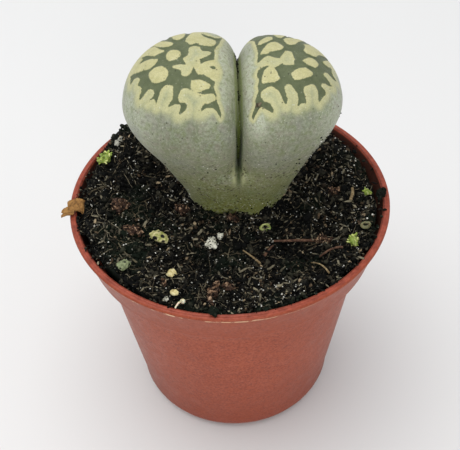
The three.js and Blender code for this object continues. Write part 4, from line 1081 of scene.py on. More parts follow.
def leaf_pair_mesh(rows, columns):
    """The leaves' skin in one closed net, and what its material needs to know at each point."""
    direction = casting_directions(rows, columns)
    point = direction * cast(direction)[:, None]
    point[:, 2] += CAST_FROM
    cleft = cleft_share(point)
    off_middle = np.abs(point[:, 0])
    for x, z, half_width, half_height, fold in FOLDS:
        near = np.exp(-(((point[:, 0] - x) / half_width) ** 2) - ((point[:, 2] - z) / half_height) ** 2)
        point -= direction * (fold * near * (point[:, 1] < 0))[:, None]
    crease = smooth_step(point[:, 2], *CREASE_FROM) * smooth_step(point[:, 2], *CREASE_TO)
    groove = crease * np.exp(-((off_middle / CREASE_WIDTH) ** 2))
    edges = crease * np.exp(-(((off_middle - CREASE_EDGE[0]) / CREASE_EDGE[1]) ** 2))
    point[:, 1] += np.sign(point[:, 1]) * (CREASE_EDGE_RISE * edges - CREASE_DEPTH * groove)
    by_fissure = np.exp(-((point[:, 0] / FISSURE_LEAN_SPREAD) ** 2))
    point[:, 0] += FISSURE_LEAN * (point[:, 2] - FISSURE_LEAN_FROM) * by_fissure
    depth, inside = face_depths(point)
    low = point[:, 2] < WIDEST_HEIGHT / 3
    depth[low], inside[low] = -9.0, -9.0
    inside -= 1.2 * smooth_step(4.4 - off_middle, 0, 1.2) * smooth_step(-inside, 0.0, 1.1)
    point -= direction * (WINDOW_DEPTH * smooth_step(depth, 0, WINDOW_SLOPE))[:, None]
    marks = {"window_depth": depth, "inside": inside, "height": point[:, 2], "cleft": cleft,
             "in_cleft": dirt_in_cleft(point, cleft), "clinging": dirt_on_skin(point), "groove": groove,
             "edges": edges, "pale": painted_sheen_and_highlight(point, off_middle)}
    return point + np.array([*PLANT_CENTRE, PLANT_GROUND]), net_faces(rows, columns), marks


# Colours of the flank by height, from the neck at 0 to the rims of the faces at 1.
FLANK = [
    (0.0, rgb(108, 111, 46)), (0.16, rgb(114, 118, 56)), (0.32, rgb(125, 127, 84)),
    (0.52, rgb(137, 139, 113)), (0.62, rgb(138, 141, 117)), (0.73, rgb(122, 127, 107)),
    (0.82, rgb(136, 141, 118)), (0.93, rgb(172, 176, 149)), (1.0, rgb(186, 190, 162)),
]
SKIN = {
    "painted sheen and highlight": rgb(186, 191, 170), "olive blotch": rgb(112, 124, 76),
    "brown blotch": rgb(140, 132, 120), "lilac bloom": rgb(138, 140, 130), "green bloom": rgb(130, 146, 112),
    "frost": rgb(168, 171, 150), "between frost": rgb(98, 101, 70),
    "cream": (rgb(180, 176, 126), rgb(198, 193, 146)), "frosted cream": rgb(214, 211, 174),
    "thin cream": rgb(176, 178, 140), "cream's edge": rgb(150, 156, 120), "painted crease highlight": rgb(166, 168, 126),
    "crease": rgb(74, 88, 48), "window": (rgb(80, 89, 61), rgb(102, 110, 80)),
    "painted light high in fissure": rgb(142, 152, 88), "dot": rgb(46, 46, 28), "speck": rgb(56, 48, 28),
    "fleck": rgb(200, 202, 186), "pore": rgb(70, 74, 54),
}
FISSURE = [(0.0, rgb(82, 94, 38)), (0.4, rgb(80, 92, 46)), (1.0, rgb(134, 142, 102))]


def flank_colour(shader, height, frost):
    """Grey-green skin, olive by the neck, blotched and frosted."""
    shifted = shader.math("ADD", shader.math("DIVIDE", height, 30), shader.sway(shader.noise(0.24, 4), 0.22))
    flank = shader.ramp(shifted, *FLANK, soft=True)
    # Painted sheen on the outer shoulders and a painted highlight along the fissure's upper edges, from the
    # pale mark.
    flank = shader.tint(flank, shader.attribute("pale"), 0.75, SKIN["painted sheen and highlight"])
    blotch = shader.noise(0.8, 5, 0.7)
    flank = shader.tint(flank, shader.step(blotch, 0.5, 0.38), 0.45, SKIN["olive blotch"])
    upper = shader.times(shader.step(height, 2, 16), 0.5)
    flank = shader.tint(flank, shader.step(blotch, 0.5, 0.62), upper, SKIN["brown blotch"])
    lilac = shader.times(shader.step(shader.noise(0.2), 0.5, 0.7), shader.step(height, 6, 17))
    flank = shader.tint(flank, lilac, 0.45, SKIN["lilac bloom"])
    flank = shader.tint(flank, shader.step(shader.noise(0.33), 0.55, 0.75), 0.35, SKIN["green bloom"])
    flank = shader.tint(flank, shader.step(frost, 0.5, 0.62), 0.45, SKIN["frost"])
    return shader.tint(flank, shader.step(frost, 0.5, 0.38), 0.42, SKIN["between frost"])


def cream_colour(shader, inside, frost):
    """Cream of the islands and of the margin round the windows, thinner towards its outer edge."""
    cream = shader.ramp(shader.noise(0.8, 5, 0.6), *zip((0.3, 0.7), SKIN["cream"]))
    cream = shader.tint(cream, shader.step(frost, 0.5, 0.66), 0.3, SKIN["frosted cream"])
    cream = shader.tint(cream, shader.step(inside, 0.2, -0.4), 0.5, SKIN["thin cream"])
    return shader.tint(cream, shader.step(inside, -0.5, -1.5), 0.85, SKIN["cream's edge"])


def lithops_material():
    """Waxy, frosted grey-green skin; cream tops with dull olive windows between islands."""
    shader = Shader("lithops skin", rgb(150, 155, 130), 0.5, Subsurface_Weight=0.08, Subsurface_Scale=0.0012,
                    Subsurface_Radius=(1.0, 0.9, 0.45), Specular_IOR_Level=0.2, Sheen_Weight=0.12,
                    Sheen_Roughness=0.4)
    height = shader.attribute("height")
    cleft = shader.attribute("cleft")
    frost = shader.noise(2.2, 5, 0.75)
    fine = shader.noise(5.5, 3, 0.7)
    inside = shader.math("ADD", shader.attribute("inside"), shader.sway(shader.noise(0.5, 4), 1.2))
    skin = shader.mix(shader.step(inside, -1.8, -0.4), flank_colour(shader, height, frost),
                      cream_colour(shader, inside, frost))
    # Painted highlight on the crease's raised edges and painted shade in its groove.
    skin = shader.tint(skin, shader.attribute("edges"), 0.75, SKIN["painted crease highlight"])
    skin = shader.tint(skin, shader.attribute("groove"), 0.9, SKIN["crease"])

    # The windows, with ragged edges, and the walls of the fissure.
    ragged = shader.sway(shader.noise(3.4, 4, 0.7), 0.42)
    window = shader.step(shader.math("ADD", shader.attribute("window_depth"), ragged), -0.03, 0.09)
    dull = shader.ramp(shader.noise(0.6, 5, 0.65), *zip((0.3, 0.72), SKIN["window"]))
    colour = shader.mix(window, skin, dull)
    walls = shader.ramp(cleft, *FISSURE)
    # Painted light on the fissure's narrow upper walls, lighter than their shade would leave them.
    walls = shader.tint(walls, shader.step(height, 18, 26), 0.6, SKIN["painted light high in fissure"])
    colour = shader.mix(shader.step(cleft, 1.0, 0.5), colour, walls)

    # Dark dots nearly all over, brown specks on the lower flanks, pale flecks, and fine pores.
    lower = shader.math("ADD", shader.noise(0.5, 2), shader.times(height, -0.004))
    dotted = shader.times(shader.step(shader.cells(1.05), 0.18, 0.09), shader.step(lower, 0.38, 0.46))
    colour = shader.tint(colour, dotted, 0.7, SKIN["dot"])
    specks = shader.step(shader.cells(1.5, stretch=(1.03, 1, 1)), 0.42, 0.24)
    specked = shader.times(shader.times(specks, shader.step(height, 20, 11)),
                           shader.step(shader.noise(0.35, 2), 0.43, 0.58))
    colour = shader.tint(colour, specked, 0.8, SKIN["speck"])
    flecks = shader.step(shader.cells(1.7, stretch=(1, 1, 1.02)), 0.24, 0.12)
    flecked = shader.times(flecks, shader.step(shader.noise(0.45), 0.42, 0.6))
    flecked = shader.times(flecked, shader.math("SUBTRACT", 0.55, shader.times(window, 0.4)))
    colour = shader.mix(flecked, colour, SKIN["fleck"])
    colour = shader.tint(colour, shader.step(fine, 0.55, 0.4), 0.2, SKIN["pore"])
    relief = shader.math("ADD", shader.times(frost, 0.7), shader.times(fine, 0.3))
    rough = shader.math("ADD", shader.times(frost, 0.2), 0.42)
    return shader.finish(colour, rough, shader.bump(relief, 0.16, 0.8))


def cleft_share(point):
    """0 on the floor of the fissure, rising to 1 where its walls meet the leaves' skin."""
    x, y, z = point.T
    across, along = np.abs(x) - CROWN[0], y - CROWN[1]
    height = np.where(x < 0, LEFT_HEIGHT, RIGHT_HEIGHT)
    crown = height - across**2 / (2 * CROWN_RADIUS[0]) - along**2 / (2 * CROWN_RADIUS[1])
    half_depth = NECK[1] + (WIDEST_DEPTH - NECK[1]) * smooth_step(z, 0, WIDEST_HEIGHT)
    sunk = np.minimum(crown - z, (half_depth - np.abs(y)) * SIDE_SLOPE)
    near = np.clip((np.abs(x) - 0.14) / 0.6, 0, 1)
    shallow = np.clip((2.6 - sunk) / 2.0, 0, 1)
    return np.clip(np.maximum(near, shallow), 0, 1) + (z < FUSED_HEIGHT)


place, faces, marks = leaf_pair_mesh(SKIN_ROWS, SKIN_COLUMNS)
lithops = add_piece("leaf_pair", place, faces)
for mark, values in marks.items():
    add_attribute(lithops, mark, values)
lithops.data.materials.append(lithops_material())
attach(lithops, "root")
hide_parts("lithops")
strewn("cleft_dirt", per_mm2=4.5, sizes=(0.09, 0.24), stretch=(1.0, 0.8, 0.7), lift=0.0,
       rumple=[(0.4, 0.12)], seed=67, material=crumb_stuff, base=lithops, share="in_cleft", smooth=False)
strewn("neck_crumbs", per_mm2=6.0, sizes=(0.07, 0.26), stretch=(1.0, 0.8, 0.6), lift=0.0,
       rumple=[(0.4, 0.12)], seed=68, material=crumb_stuff, base=lithops, share="clinging", smooth=False)
strewn("neck_sand", per_mm2=7.0, sizes=(0.06, 0.17), stretch=(1.0, 0.8, 0.7), lift=0.0,
       rumple=[(0.2, 0.05)], seed=69, material=grit_stuff, base=lithops, share="clinging", smooth=False)


# ------------------------------------------------------------------ loose grains and chips
# Perlite, husks, bark and grit big enough to tell apart, as they came with the mix. They lie
# half sunk in its surface, each a closed, broken shape. A fleck of bark lies on the right leaf.

# Node, kind, place, half sizes, turn in degrees, and the share of its half height that it stands up.
GRAINS = [
    ("seed_husk", "husk", (-12.1, -8.0), (2.05, 1.0, 0.8), -24, 0.7),
    ("perlite_grain", "perlite", (-3.4, -9.4), (0.85, 1.1, 0.9), 15, 0.6),
    ("perlite_grain_small", "perlite", (-1.8, -8.0), (0.45, 0.5, 0.45), 0, 0.6),
    ("yellow_grain", "straw", (-9.7, -16.8), (0.7, 0.7, 0.6), 0, 0.7),
    ("white_grain", "perlite", (-10.6, -22.1), (0.42, 0.4, 0.4), 0, 0.7),
    ("brown_grain", "bark", (-11.1, -19.2), (0.5, 0.5, 0.5), 0, 0.7),
    ("grey_flake", "flake", (-19.7, 12.4), (1.3, 0.6, 0.45), 50, 0.7),
    ("pale_flake", "straw", (-9.1, -21.2), (0.65, 0.4, 0.4), -25, 0.7),
    ("bark_chip_1", "bark", (-18.8, -1.0), (1.7, 1.1, 0.8), 20, 0.6),
    ("bark_chip_2", "bark", (-16.5, -7.0), (1.4, 0.7, 0.6), -20, 0.6),
    ("bark_chip_3", "bark", (-8.2, -1.3), (1.45, 0.9, 0.8), -30, 0.6),
    ("bark_chip_4", "bark", (-0.8, -18.8), (0.65, 0.75, 0.55), 15, 0.6),
    ("bark_chip_5", "bark", (15.7, -9.6), (1.4, 0.8, 0.6), -40, 0.6),
    ("bark_chip_6", "bark", (18.4, 2.5), (0.95, 0.65, 0.65), 0, 0.6),
    ("bark_chip_7", "bark", (-3.1, -21.0), (0.55, 2.4, 0.55), -11, 0.6),
    ("bark_chip_8", "bark", (0.4, -4.4), (0.85, 0.65, 0.55), 0, 0.6),
    ("green_pebble", "pebble", (-17.3, -15.9), (1.05, 0.9, 0.75), 20, 0.6),
]
FINE_GRAIN = 0.7
FLECK = (4.83, -5.45, 68.2)
FLECK_LEAN = 0.45
# Half sizes and turns of the splinters that the fleck is made of.
SPLINTERS = [((0.6, 0.15, 0.13), 35), ((0.42, 0.13, 0.12), -20), ((0.34, 0.12, 0.1), 80)]
# Each kind is pushed in and out by noise: its cells' size and its reach, coarse to fine.
RUMPLES = {
    "husk": [(1.6, 0.35), (0.6, 0.22), (0.3, 0.1)], "perlite": [(0.9, 0.4), (0.4, 0.3), (0.2, 0.12)],
    "straw": [(1.0, 0.4), (0.4, 0.2)], "bark": [(1.2, 0.6), (0.5, 0.5), (0.25, 0.28)],
    "pebble": [(1.2, 0.35), (0.4, 0.15)], "flake": [(1.2, 0.35), (0.4, 0.15)],
}


def ball(facets):
    """Points and faces of a ball one millimetre in radius."""
    shape = bmesh.new()
    bmesh.ops.create_icosphere(shape, subdivisions=facets, radius=1)
    points = np.array([v.co for v in shape.verts])
    faces = [[v.index for v in face.verts] for face in shape.faces]
    shape.free()
    return points, faces


def turned(points, degrees):
    """Points turned about the upright."""
    c, s = math.cos(math.radians(degrees)), math.sin(math.radians(degrees))
    x, y, z = points.T
    return np.stack([x * c - y * s, x * s + y * c, z], 1)


def on_soil(points, x, y, degrees, lift):
    """Points turned and set down on the soil at (x, y)."""
    return turned(points, degrees) + np.array([x, y, float(soil_height(x, y)) + lift])


def together(shapes):
    """Points and faces of several shapes as one."""
    points, faces = np.zeros((0, 3)), []
    for more_points, more_faces in shapes:
        faces += [tuple(i + len(points) for i in face) for face in more_faces]
        points = np.concatenate([points, more_points])
    return points, faces


def broken(points, half, rumples, start):
    """A ball's points pushed in and out by noise, cells and reaches in millimetres."""
    points = points * np.array(half)
    apart = [Vector(start), Vector(start) + Vector((9.3, 1.5, 8.0)), Vector(start) + Vector((5.6, 3.2, 7.1))]
    for cell, reach in rumples:
        for i, point in enumerate(points):
            place = Vector(point) / cell
            points[i] = point + np.array([noise.noise(place + offset) for offset in apart]) * reach
    return points


def pitted_material(name, light, shade, pit, pits_per_mm, pit_size):
    """Pale mineral or husk, mottled, with dark pits eaten into it."""
    shader = Shader(name, light, 0.7, Specular_IOR_Level=0.35)
    colour = shader.ramp(shader.noise(1.6, 4, 0.65), (0.35, shade), (0.6, light))
    warped = shader.math("ADD", shader.cells(pits_per_mm), shader.times(shader.noise(2.5, 2), 0.12))
    pits = shader.step(warped, pit_size + 0.08, pit_size)
    relief = shader.math("SUBTRACT", shader.noise(3.5), pits)
    return shader.finish(shader.mix(pits, colour, pit), None, shader.bump(relief, 0.08, 0.8))


def chip_material(name, *tones, stretch=(1, 1, 1)):
    """Torn plant matter with a grain along its length."""
    shader = Shader(name, tones[0], 0.85, Specular_IOR_Level=0.3)
    grain = shader.noise(1.5, 5, 0.7, 0.4, stretch=stretch)
    stops = [(0.3 + 0.4 * i / (len(tones) - 1), tone) for i, tone in enumerate(tones)]
    return shader.finish(shader.ramp(grain, *stops), None, shader.bump(grain, 0.12, 0.9))


STUFF = {
    "husk": pitted_material("seed husk", rgb(206, 196, 146), rgb(136, 142, 66), rgb(14, 11, 7),
                            pits_per_mm=0.85, pit_size=0.4),
    "perlite": pitted_material("perlite", rgb(232, 230, 214), rgb(170, 169, 150), rgb(14, 13, 11),
                               pits_per_mm=1.7, pit_size=0.27),
    "straw": chip_material("pale grain", rgb(140, 118, 70), rgb(206, 192, 138), rgb(228, 220, 180)),
    "bark": chip_material("bark", rgb(12, 9, 7), rgb(38, 27, 21), rgb(74, 54, 43), rgb(120, 96, 78)),
    "pebble": pitted_material("grey grit", rgb(142, 150, 112), rgb(78, 88, 58), rgb(22, 26, 16),
                              pits_per_mm=1.3, pit_size=0.3),
    "flake": pitted_material("pale grit", rgb(176, 174, 162), rgb(112, 112, 100), rgb(30, 30, 26),
                             pits_per_mm=0.9, pit_size=0.2),
}

bark_shapes = []
for number, (node, kind, (x, y), half, degrees, stands) in enumerate(GRAINS):
    points, faces = ball(4 if max(half) > FINE_GRAIN else 3)
    points = broken(points, half, RUMPLES[kind], (number * 7.3, number * 3.1, 0.5))
    points = on_soil(points, x, y, degrees, half[2] * stands)
    grain = add_piece(node + "_piece", points, faces)
    if kind == "bark":
        bark_shapes.append((points, faces))
    grain.data.materials.append(STUFF[kind])
    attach(grain, "root")
    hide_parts(node)

splinters = []
for half, degrees in SPLINTERS:
    points, faces = ball(3)
    points = turned(broken(points, half, [(0.4, 0.12)], (degrees, 3.0, 1.0)), degrees)
    points[:, 2] += FLECK_LEAN * points[:, 1]
    splinters.append((points + np.array(FLECK), faces))
points, faces = together(splinters)
fleck = add_piece("bark_fleck_on_leaf", points, faces)
add_attribute(fleck, "tone", 0.35 + 0.4 * (points[:, 0] > FLECK[0]))
fleck.data.materials.append(fibre_stuff)
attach(fleck, "root")

# Thin flakes peel from the bark chips, strewn over a mesh of all of them that isn't kept.
points, faces = together(bark_shapes)
flaky = add_piece("flaky bark", points, faces)
add_attribute(flaky, "share", np.ones(len(points)))
strewn("bark_flakes", per_mm2=5.5, sizes=(0.15, 0.5), stretch=(1.0, 0.55, 0.16), lift=0.1,
       rumple=[(0.5, 0.28), (0.22, 0.1)], seed=57, material=flake_stuff, sides=6, base=flaky)
bpy.data.objects.remove(flaky)


# ------------------------------------------------------------------ moss
# Three live bits of moss. Each is a clump of short, plump leaflets growing from a soft
# middle, bright yellow-green where the light comes through them.

# Node, place, half sizes, turn in degrees, share of its half height up, leaflet length and seed.
MOSS = [
    ("moss_tuft_left", (-22.2, 9.4), (1.8, 0.95, 0.9), 38, 0.7, 0.6, 71),
    ("moss_tuft_right", (20.2, -10.9), (1.0, 1.4, 0.9), 10, 0.6, 0.5, 72),
    ("moss_tuft_back", (24.0, 0.0), (0.8, 0.8, 0.8), 0, 0.6, 0.45, 73),
]
MIDDLE_SHARE = 0.72
LEAFLETS_PER_MM2 = 4.5
LEAFLET_SHAPE = (0.36, 0.3, 0.7)


def moss_material():
    """Leaflets from deep to yellow-green by their tone, with light glowing through them."""
    shader = Shader("moss", rgb(150, 172, 70), 0.55, Subsurface_Weight=0.25, Subsurface_Scale=0.0008,
                    Subsurface_Radius=(0.7, 1.0, 0.2))
    tone = shader.times(shader.attribute("tone"), 0.6)
    tone = shader.math("ADD", tone, shader.times(shader.noise(1.2), 0.5))
    colour = shader.ramp(tone, (0.15, rgb(86, 112, 34)), (0.5, rgb(150, 168, 74)), (0.85, rgb(206, 212, 134)))
    return shader.finish(colour, None, shader.bump(shader.noise(5, 2), 0.04, 0.5))


def moss_tree(leaflet_mm, seed, material):
    """Plump leaflets standing out from a lump, over the lump itself."""
    tree = Tree("moss clump")
    density = tree.size("Leaflets to a square metre", LEAFLETS_PER_MM2 / MM**2)
    length = tree.size("Leaflet length", leaflet_mm * MM)
    seed_in = tree.size("Seed", seed, "NodeSocketInt")
    spots = tree.strewn_spots(density, seed_in)
    aside = tree.random((-0.5, -0.5, -0.2), (0.5, 0.5, 0.7), 5)
    outward = tree.vector("ADD", tree.node("GeometryNodeInputNormal"), aside)
    outward = tree.node("FunctionNodeAlignRotationToVector", {"Vector": outward}, axis="Z")
    leaflet = tree.node("GeometryNodeMeshUVSphere", {"Radius": 1.0, "Segments": 7, "Rings": 5})
    leaflet = tree.node("GeometryNodeTransform", {
        "Geometry": leaflet, "Translation": (0, 0, 0.5), "Scale": LEAFLET_SHAPE})
    reach = tree.math("MULTIPLY", length, tree.random(0.6, 1.15, tree.math("ADD", seed_in, 2)))
    leaflets = tree.node("GeometryNodeInstanceOnPoints", {
        "Points": spots, "Instance": leaflet, "Rotation": outward, "Scale": tree.evenly(reach)})
    both = tree.group.nodes.new("GeometryNodeJoinGeometry")
    tree.group.links.new(leaflets, both.inputs[0])
    tree.group.links.new(tree.geometry, both.inputs[0])
    clump = tree.node("GeometryNodeRealizeInstances", {0: both.outputs[0]})
    tree.finish(tree.rumple(clump, 0.5, 0.1), material)
    return tree


moss_stuff = moss_material()
for node, (x, y), half, degrees, stands, leaflet_mm, seed in MOSS:
    points, faces = ball(3)
    points = broken(points * MIDDLE_SHARE, half, [(1.0, 0.3)], (seed, 0.2, 0.4))
    lump = add_piece(node + " middle", on_soil(points, x, y, degrees, half[2] * stands), faces)
    add_attribute(lump, "tone", np.full(len(points), 0.2))
    tuft = moss_tree(leaflet_mm, seed, moss_stuff).grow(node + "_piece", lump.data)
    bpy.data.objects.remove(lump)
    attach(tuft, "root")
    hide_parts(node)


# ------------------------------------------------------------------ twigs and straws
# Bits of root, twig and dry needle lying on the mix. Each is a thin stick, thicker at one
# end, a little bent and with a streaky bark.

# Node, kind, radii at both ends, and three places with their heights above the soil.
TWIGS = [
    ("twig_long", "twig", (0.17, 0.3), [(7.1, -9.0, 0.1), (10.4, -9.2, 0.2), (14.0, -9.0, 0.1)]),
    ("twig_short", "twig", (0.14, 0.24), [(6.9, -10.2, 0.3), (6.2, -11.4, 0.4), (5.3, -12.8, 0.2)]),
    ("twig_thin", "straw", (0.12, 0.2), [(1.9, -11.0, 0.2), (3.4, -12.5, 0.3), (4.6, -14.3, 0.2)]),
    ("needle", "straw", (0.09, 0.15), [(12.9, -14.2, 0.3), (14.2, -16.4, 0.4), (15.2, -18.8, 0.3)]),
    ("twig_right", "twig", (0.13, 0.22), [(14.3, -13.5, 0.3), (16.3, -12.9, 0.5), (18.1, -12.5, 0.3)]),
    ("straw_piece", "straw", (0.24, 0.32), [(21.6, 1.9, 0.3), (21.5, 0.6, 0.5), (21.0, -0.7, 0.3)]),
    ("dark_fibre", "bark", (0.1, 0.16), [(-18.5, -10.6, 0.3), (-17.3, -12.6, 0.4), (-15.3, -14.8, 0.3)]),
]
TWIG_STEPS = 28
TWIG_STUFF = {
    "twig": chip_material("twig bark", rgb(34, 22, 16), rgb(84, 58, 44), rgb(134, 102, 80)),
    "straw": chip_material("dry straw", rgb(84, 68, 46), rgb(132, 112, 80), rgb(176, 158, 122)),
    "bark": chip_material("dark fibre", rgb(40, 36, 28), rgb(80, 74, 56), rgb(104, 96, 74)),
}


def stick_tree(radii, material):
    """A stick swept along the base polyline, from one radius to the other, a little knotty."""
    tree = Tree("stick")
    start = tree.size("Radius at the start", radii[0] * MM)
    end = tree.size("Radius at the end", radii[1] * MM)
    line = tree.node("GeometryNodeMeshToCurve", {0: tree.geometry})
    along = tree.node("GeometryNodeSplineParameter")
    place = tree.node("GeometryNodeInputPosition")
    knots = tree.node("ShaderNodeTexNoise", {"Vector": place, "Scale": 0.9 / MM})
    swell = tree.math("ADD", 0.75, tree.math("MULTIPLY", knots, 0.5))
    wide = tree.math("ADD", start, tree.math("MULTIPLY", along, tree.math("SUBTRACT", end, start)))
    section = tree.node("GeometryNodeCurvePrimitiveCircle", {"Resolution": 12, "Radius": 1.0})
    tube = tree.node("GeometryNodeCurveToMesh", {
        "Curve": line, "Profile Curve": section, "Fill Caps": True,
        "Scale": tree.math("MULTIPLY", wide, swell)})
    tree.finish(tree.rumple(tube, 0.35, 0.05), material)
    return tree


def smooth_path(points, steps):
    """Points of an even curve through three given ones."""
    first, middle, last = (np.array(p, float) for p in points)
    t = np.linspace(0, 1, steps)[:, None]
    pull = 2 * middle - (first + last) / 2
    return first * (1 - t) ** 2 + pull * 2 * t * (1 - t) + last * t**2


def stick(name, path, radii, material):
    """A stick along a path of points in millimetres, as a new piece."""
    line = bpy.data.meshes.new(name + " line")
    steps = [(i, i + 1) for i in range(len(path) - 1)]
    line.from_pydata([tuple(place) for place in np.asarray(path) * MM], steps, [])
    return stick_tree(radii, material).grow(name, line)


for node, kind, radii, bends in TWIGS:
    raised = [(x, y, float(soil_height(x, y)) + lift + max(radii)) for x, y, lift in bends]
    piece = stick(node + "_piece", smooth_path(raised, TWIG_STEPS), radii, TWIG_STUFF[kind])
    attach(piece, "root")
    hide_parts(node)


# ------------------------------------------------------------------ ring husks and the seedling
# Two empty seed coats lie open side up, like tiny bowls. A pale seedling has fallen over the
# mix by the front lip, its thin stalk bent onto the lip and its round head still closed.

# Node, slot, place, radius, light and shaded colour.
RING_HUSKS = [
    ("husk_ring_green", "husk", (5.9, -5.4), 1.05, rgb(196, 200, 130), rgb(120, 150, 50)),
    ("husk_ring_tan", "straw", (22.6, -7.8), 0.95, rgb(160, 160, 118), rgb(112, 108, 74)),
]
HUSK_SIDES = 48
HUSK_TURN = 20
SPROUT_FOOT = (-8.95, -24.9)
SPROUT_HEAD = (-7.85, -23.2)
SPROUT_RISE = 0.8
SPROUT_ARCH = 0.45
SPROUT_RADIUS = 0.44
STALK_RADII = (0.12, 0.17)
STALK_STEPS = 24


def bowl_mesh(radius):
    """A shallow bowl with a thick rounded rim, closed, standing on Z = 0."""
    profile = [(0, 0), *arc((radius * 0.55, radius * 0.4), radius * 0.42, -80, 60, 10),
               *arc((radius * 0.72, radius * 0.55), radius * 0.2, 60, 200, 8), (radius * 0.38, radius * 0.3),
               (radius * 0.2, radius * 0.2), (0, radius * 0.18)]
    vertices, faces = turned_mesh(profile, HUSK_SIDES)
    return np.array(vertices), faces


def husk_material(name, light, shade):
    """Thin seed coat, mottled outside and on the rim, and dark in its hollow."""
    shader = Shader(name, light, 0.55, Subsurface_Weight=0.1, Subsurface_Scale=0.0005)
    colour = shader.ramp(shader.noise(0.7), (0.35, shade), (0.62, light))
    colour = shader.mix(shader.attribute("hollow"), colour, rgb(36, 26, 18))
    return shader.finish(colour, None, shader.bump(shader.noise(3.0), 0.05, 0.6))


for node, slot_name, (x, y), radius, light, shade in RING_HUSKS:
    points, faces = bowl_mesh(radius)
    spread = np.hypot(points[:, 0], points[:, 1])
    hollow = (spread < radius * 0.5) & (points[:, 2] > radius * 0.1)
    points = broken(points, (1, 0.85, 1), [(0.8, 0.14)], (x, y, 0))
    husk = add_piece(node + "_piece", on_soil(points, x, y, HUSK_TURN, 0.0), faces)
    add_attribute(husk, "hollow", hollow)
    husk.data.materials.append(husk_material(node.replace("_", " "), light, shade))
    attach(husk, "root")
    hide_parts(node)


def sprout_material():
    """Pale, nearly see-through flesh, faintly clouded."""
    shader = Shader("pale seedling", rgb(222, 214, 186), 0.5, Subsurface_Weight=0.3, Subsurface_Scale=0.0006)
    colour = shader.ramp(shader.noise(1.6, 3), (0.35, rgb(196, 178, 136)), (0.6, rgb(228, 222, 196)))
    return shader.finish(colour)


sprout_stuff = sprout_material()
foot = (*SPROUT_FOOT, POT_HEIGHT + 0.12)
head = (*SPROUT_HEAD, float(soil_height(*SPROUT_HEAD)) + SPROUT_RISE)
middle = (np.array(foot) + np.array(head)) / 2 + np.array([0, 0, SPROUT_ARCH])
stalk = stick("sprout_stalk", smooth_path([foot, middle, head], STALK_STEPS), STALK_RADII, sprout_stuff)
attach(stalk, "root")
points, faces = ball(4)
points = broken(points, (SPROUT_RADIUS, SPROUT_RADIUS * 0.92, SPROUT_RADIUS), [(0.6, 0.08)], (3, 1, 4))
sprout = add_piece("sprout_head", points + np.array(head), faces)
sprout.data.materials.append(sprout_stuff)
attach(sprout, "root")
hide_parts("sprout")


# ------------------------------------------------------------------ on the lip
# A scrap of dry leaf hangs over the lip on the left, and two clods of the mix were left on
# the lip when the pot was filled. Crumbs of it cling along the lip's inner edge.

# Node, place, half sizes, turn in degrees and seed.
CLODS = [
    ("lip_clod_right", (25.9, -2.0), (0.7, 1.5, 0.55), -30, 81),
    ("lip_clod_front", (-3.1, -26.3), (0.75, 0.65, 0.55), 0, 82),
]
# Steps along the scrap's flap and prongs: x and height, and where the span in Y begins and ends.
FLAP = [
    (-25.05, 44.15, -2.6, -0.5), (-25.02, 44.5, -3.0, -0.2), (-25.1, 44.95, -3.15, -0.05),
    (-25.3, 45.28, -3.1, 0.0), (-25.7, 45.48, -3.1, 0.0), (-26.3, 45.55, -3.2, 0.0),
    (-26.9, 45.5, -3.1, -0.1), (-27.5, 45.5, -2.9, -0.3), (-27.75, 45.55, -2.6, -0.7),
]
PRONGS = [
    [(-26.5, 45.6, -3.5, -2.2), (-27.2, 45.62, -3.6, -2.0), (-27.8, 45.6, -3.6, -2.1),
     (-28.3, 45.45, -3.4, -2.4), (-28.7, 45.25, -3.1, -2.6)],
    [(-26.5, 45.55, -3.9, -2.9), (-27.2, 45.6, -4.1, -2.9), (-27.8, 45.55, -4.15, -3.0),
     (-28.3, 45.3, -4.15, -3.3), (-28.6, 45.1, -4.1, -3.6)],
]
FLAP_COLUMNS = 14
PRONG_COLUMNS = 6
SCRAP_THICKNESS = 0.2
SHELF_SIDES = 720
SHELF_RADII = (25.0, 25.4, 25.8, 26.2, 26.6)
SHELF_LEDGE = 44.5


def bent_sheet(line, widths, thickness, columns):
    """A closed sheet of even thickness along a line of (x, z), each step with its own span in Y."""
    line = np.array(line, float)
    along = np.gradient(line, axis=0)
    normal = np.stack([-along[:, 1], along[:, 0]], 1)
    normal /= np.linalg.norm(normal, axis=1, keepdims=True)
    shares = np.linspace(0, 1, columns)
    sheets = []
    for side in (0.5, -0.5):
        grid = np.empty((len(line), columns, 3))
        grid[:, :, 0] = (line[:, 0] + normal[:, 0] * thickness * side)[:, None]
        grid[:, :, 2] = (line[:, 1] + normal[:, 1] * thickness * side)[:, None]
        grid[:, :, 1] = widths[:, 0:1] + (widths[:, 1:2] - widths[:, 0:1]) * shares[None, :]
        sheets.append(grid)
    vertices = np.concatenate([sheet.reshape(-1, 3) for sheet in sheets])
    count = len(line) * columns
    faces = []
    for i in range(len(line) - 1):
        for j in range(columns - 1):
            a, d = i * columns + j, (i + 1) * columns + j
            b, c = a + 1, d + 1
            faces.append((d, c, b, a))
            faces.append((count + a, count + b, count + c, count + d))
    rim = [i * columns for i in range(len(line))]
    rim += [(len(line) - 1) * columns + j for j in range(1, columns)]
    rim += [i * columns + columns - 1 for i in range(len(line) - 2, -1, -1)]
    rim += list(range(columns - 2, 0, -1))
    for a, b in zip(rim, rim[1:] + rim[:1]):
        faces.append((a, b, count + b, count + a))
    return vertices, faces


def leaf_scrap():
    """A crumpled flap over the lip and the two prongs of its torn outer end."""
    sheets = []
    for steps, columns in ((FLAP, FLAP_COLUMNS), *((prong, PRONG_COLUMNS) for prong in PRONGS)):
        corners = np.array(steps)
        fine = np.linspace(0, len(steps) - 1, 4 * len(steps))
        even = np.stack([np.interp(fine, np.arange(len(steps)), column) for column in corners.T], 1)
        sheets.append(bent_sheet(even[:, :2], even[:, 2:], SCRAP_THICKNESS, columns))
    vertices, faces = together(sheets)
    return broken(vertices, (1, 1, 1), [(1.1, 0.16), (0.4, 0.06)], (5, 5, 5)), faces


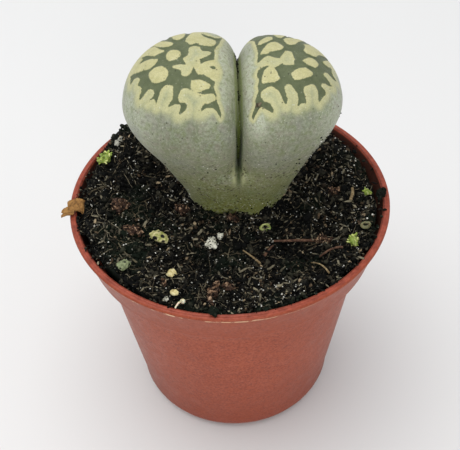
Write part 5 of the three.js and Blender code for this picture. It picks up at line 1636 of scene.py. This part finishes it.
def clod(name, place, half, degrees, seed):
    """A lump of the mix standing on the flat of the lip."""
    points, faces = ball(4)
    points = turned(broken(points, half, [(0.9, 0.4), (0.4, 0.3), (0.2, 0.12)], (seed, 1, 2)), degrees)
    lowest = POT_HEIGHT + 0.02
    points += np.array([*place, lowest - points[:, 2].min()])
    piece = add_piece(name, points, faces)
    add_attribute(piece, "tone", [0.5 + 0.5 * noise.noise(Vector(point) * 2.0) for point in points])
    piece.data.materials.append(crumb_stuff)
    return piece


def lip_shelf():
    """A ring over the lip's inner edge, marked where crumbs have spilled onto it; it isn't kept."""
    turns = np.linspace(0, 2 * math.pi, SHELF_SIDES, endpoint=False)
    radius, around = np.meshgrid(SHELF_RADII, turns)
    x, y = (radius * np.cos(around)).ravel(), (radius * np.sin(around)).ravel()
    z = np.where(radius.ravel() < LIP_INSIDE - 0.2, SHELF_LEDGE, POT_HEIGHT)
    rings = len(SHELF_RADII)
    faces = []
    for i in range(SHELF_SIDES):
        for j in range(rings - 1):
            a, b = i * rings + j, ((i + 1) % SHELF_SIDES) * rings + j
            faces.append((a, a + 1, b + 1, b))
    shelf = add_piece("lip shelf", np.stack([x, y, z], 1), faces)
    patch = smooth_step(0.5 + bumps(x / 2.4, y / 2.4, 91), 0.2, 0.7)
    towards = np.maximum(smooth_step(-y, 4, 16), smooth_step(-x, 8, 20))
    spill = np.exp(-((np.maximum(radius.ravel() - 25.7, 0) / 0.5) ** 2))
    add_attribute(shelf, "share", patch * (0.2 + 0.8 * towards) * spill)
    return shelf


shelf = lip_shelf()
strewn("lip_crumbs", per_mm2=7.0, sizes=(0.12, 0.5), stretch=(1.0, 0.75, 0.6), lift=0.2,
       rumple=[(0.8, 0.3), (0.3, 0.1)], seed=92, material=crumb_stuff, base=shelf, smooth=False)
strewn("lip_shreds", per_mm2=2.2, sizes=(0.2, 0.7), stretch=(1.0, 0.3, 0.2), lift=0.3, rumple=[(0.7, 0.2)],
       seed=93, material=shred_stuff, sides=6, tilt=0.4, base=shelf)
bpy.data.objects.remove(shelf)
scrap = add_piece("dry_leaf_scrap", *leaf_scrap())
scrap.data.materials.append(chip_material("dry leaf", rgb(84, 56, 28), rgb(142, 102, 54), rgb(172, 130, 76),
                                          stretch=(1, 0.5, 1)))
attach(scrap, "root")
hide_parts("leaf_scrap")
for node, spot, half, degrees, seed in CLODS:
    piece = clod(node + "_piece", spot, half, degrees, seed)
    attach(piece, "root")
    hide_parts(node)
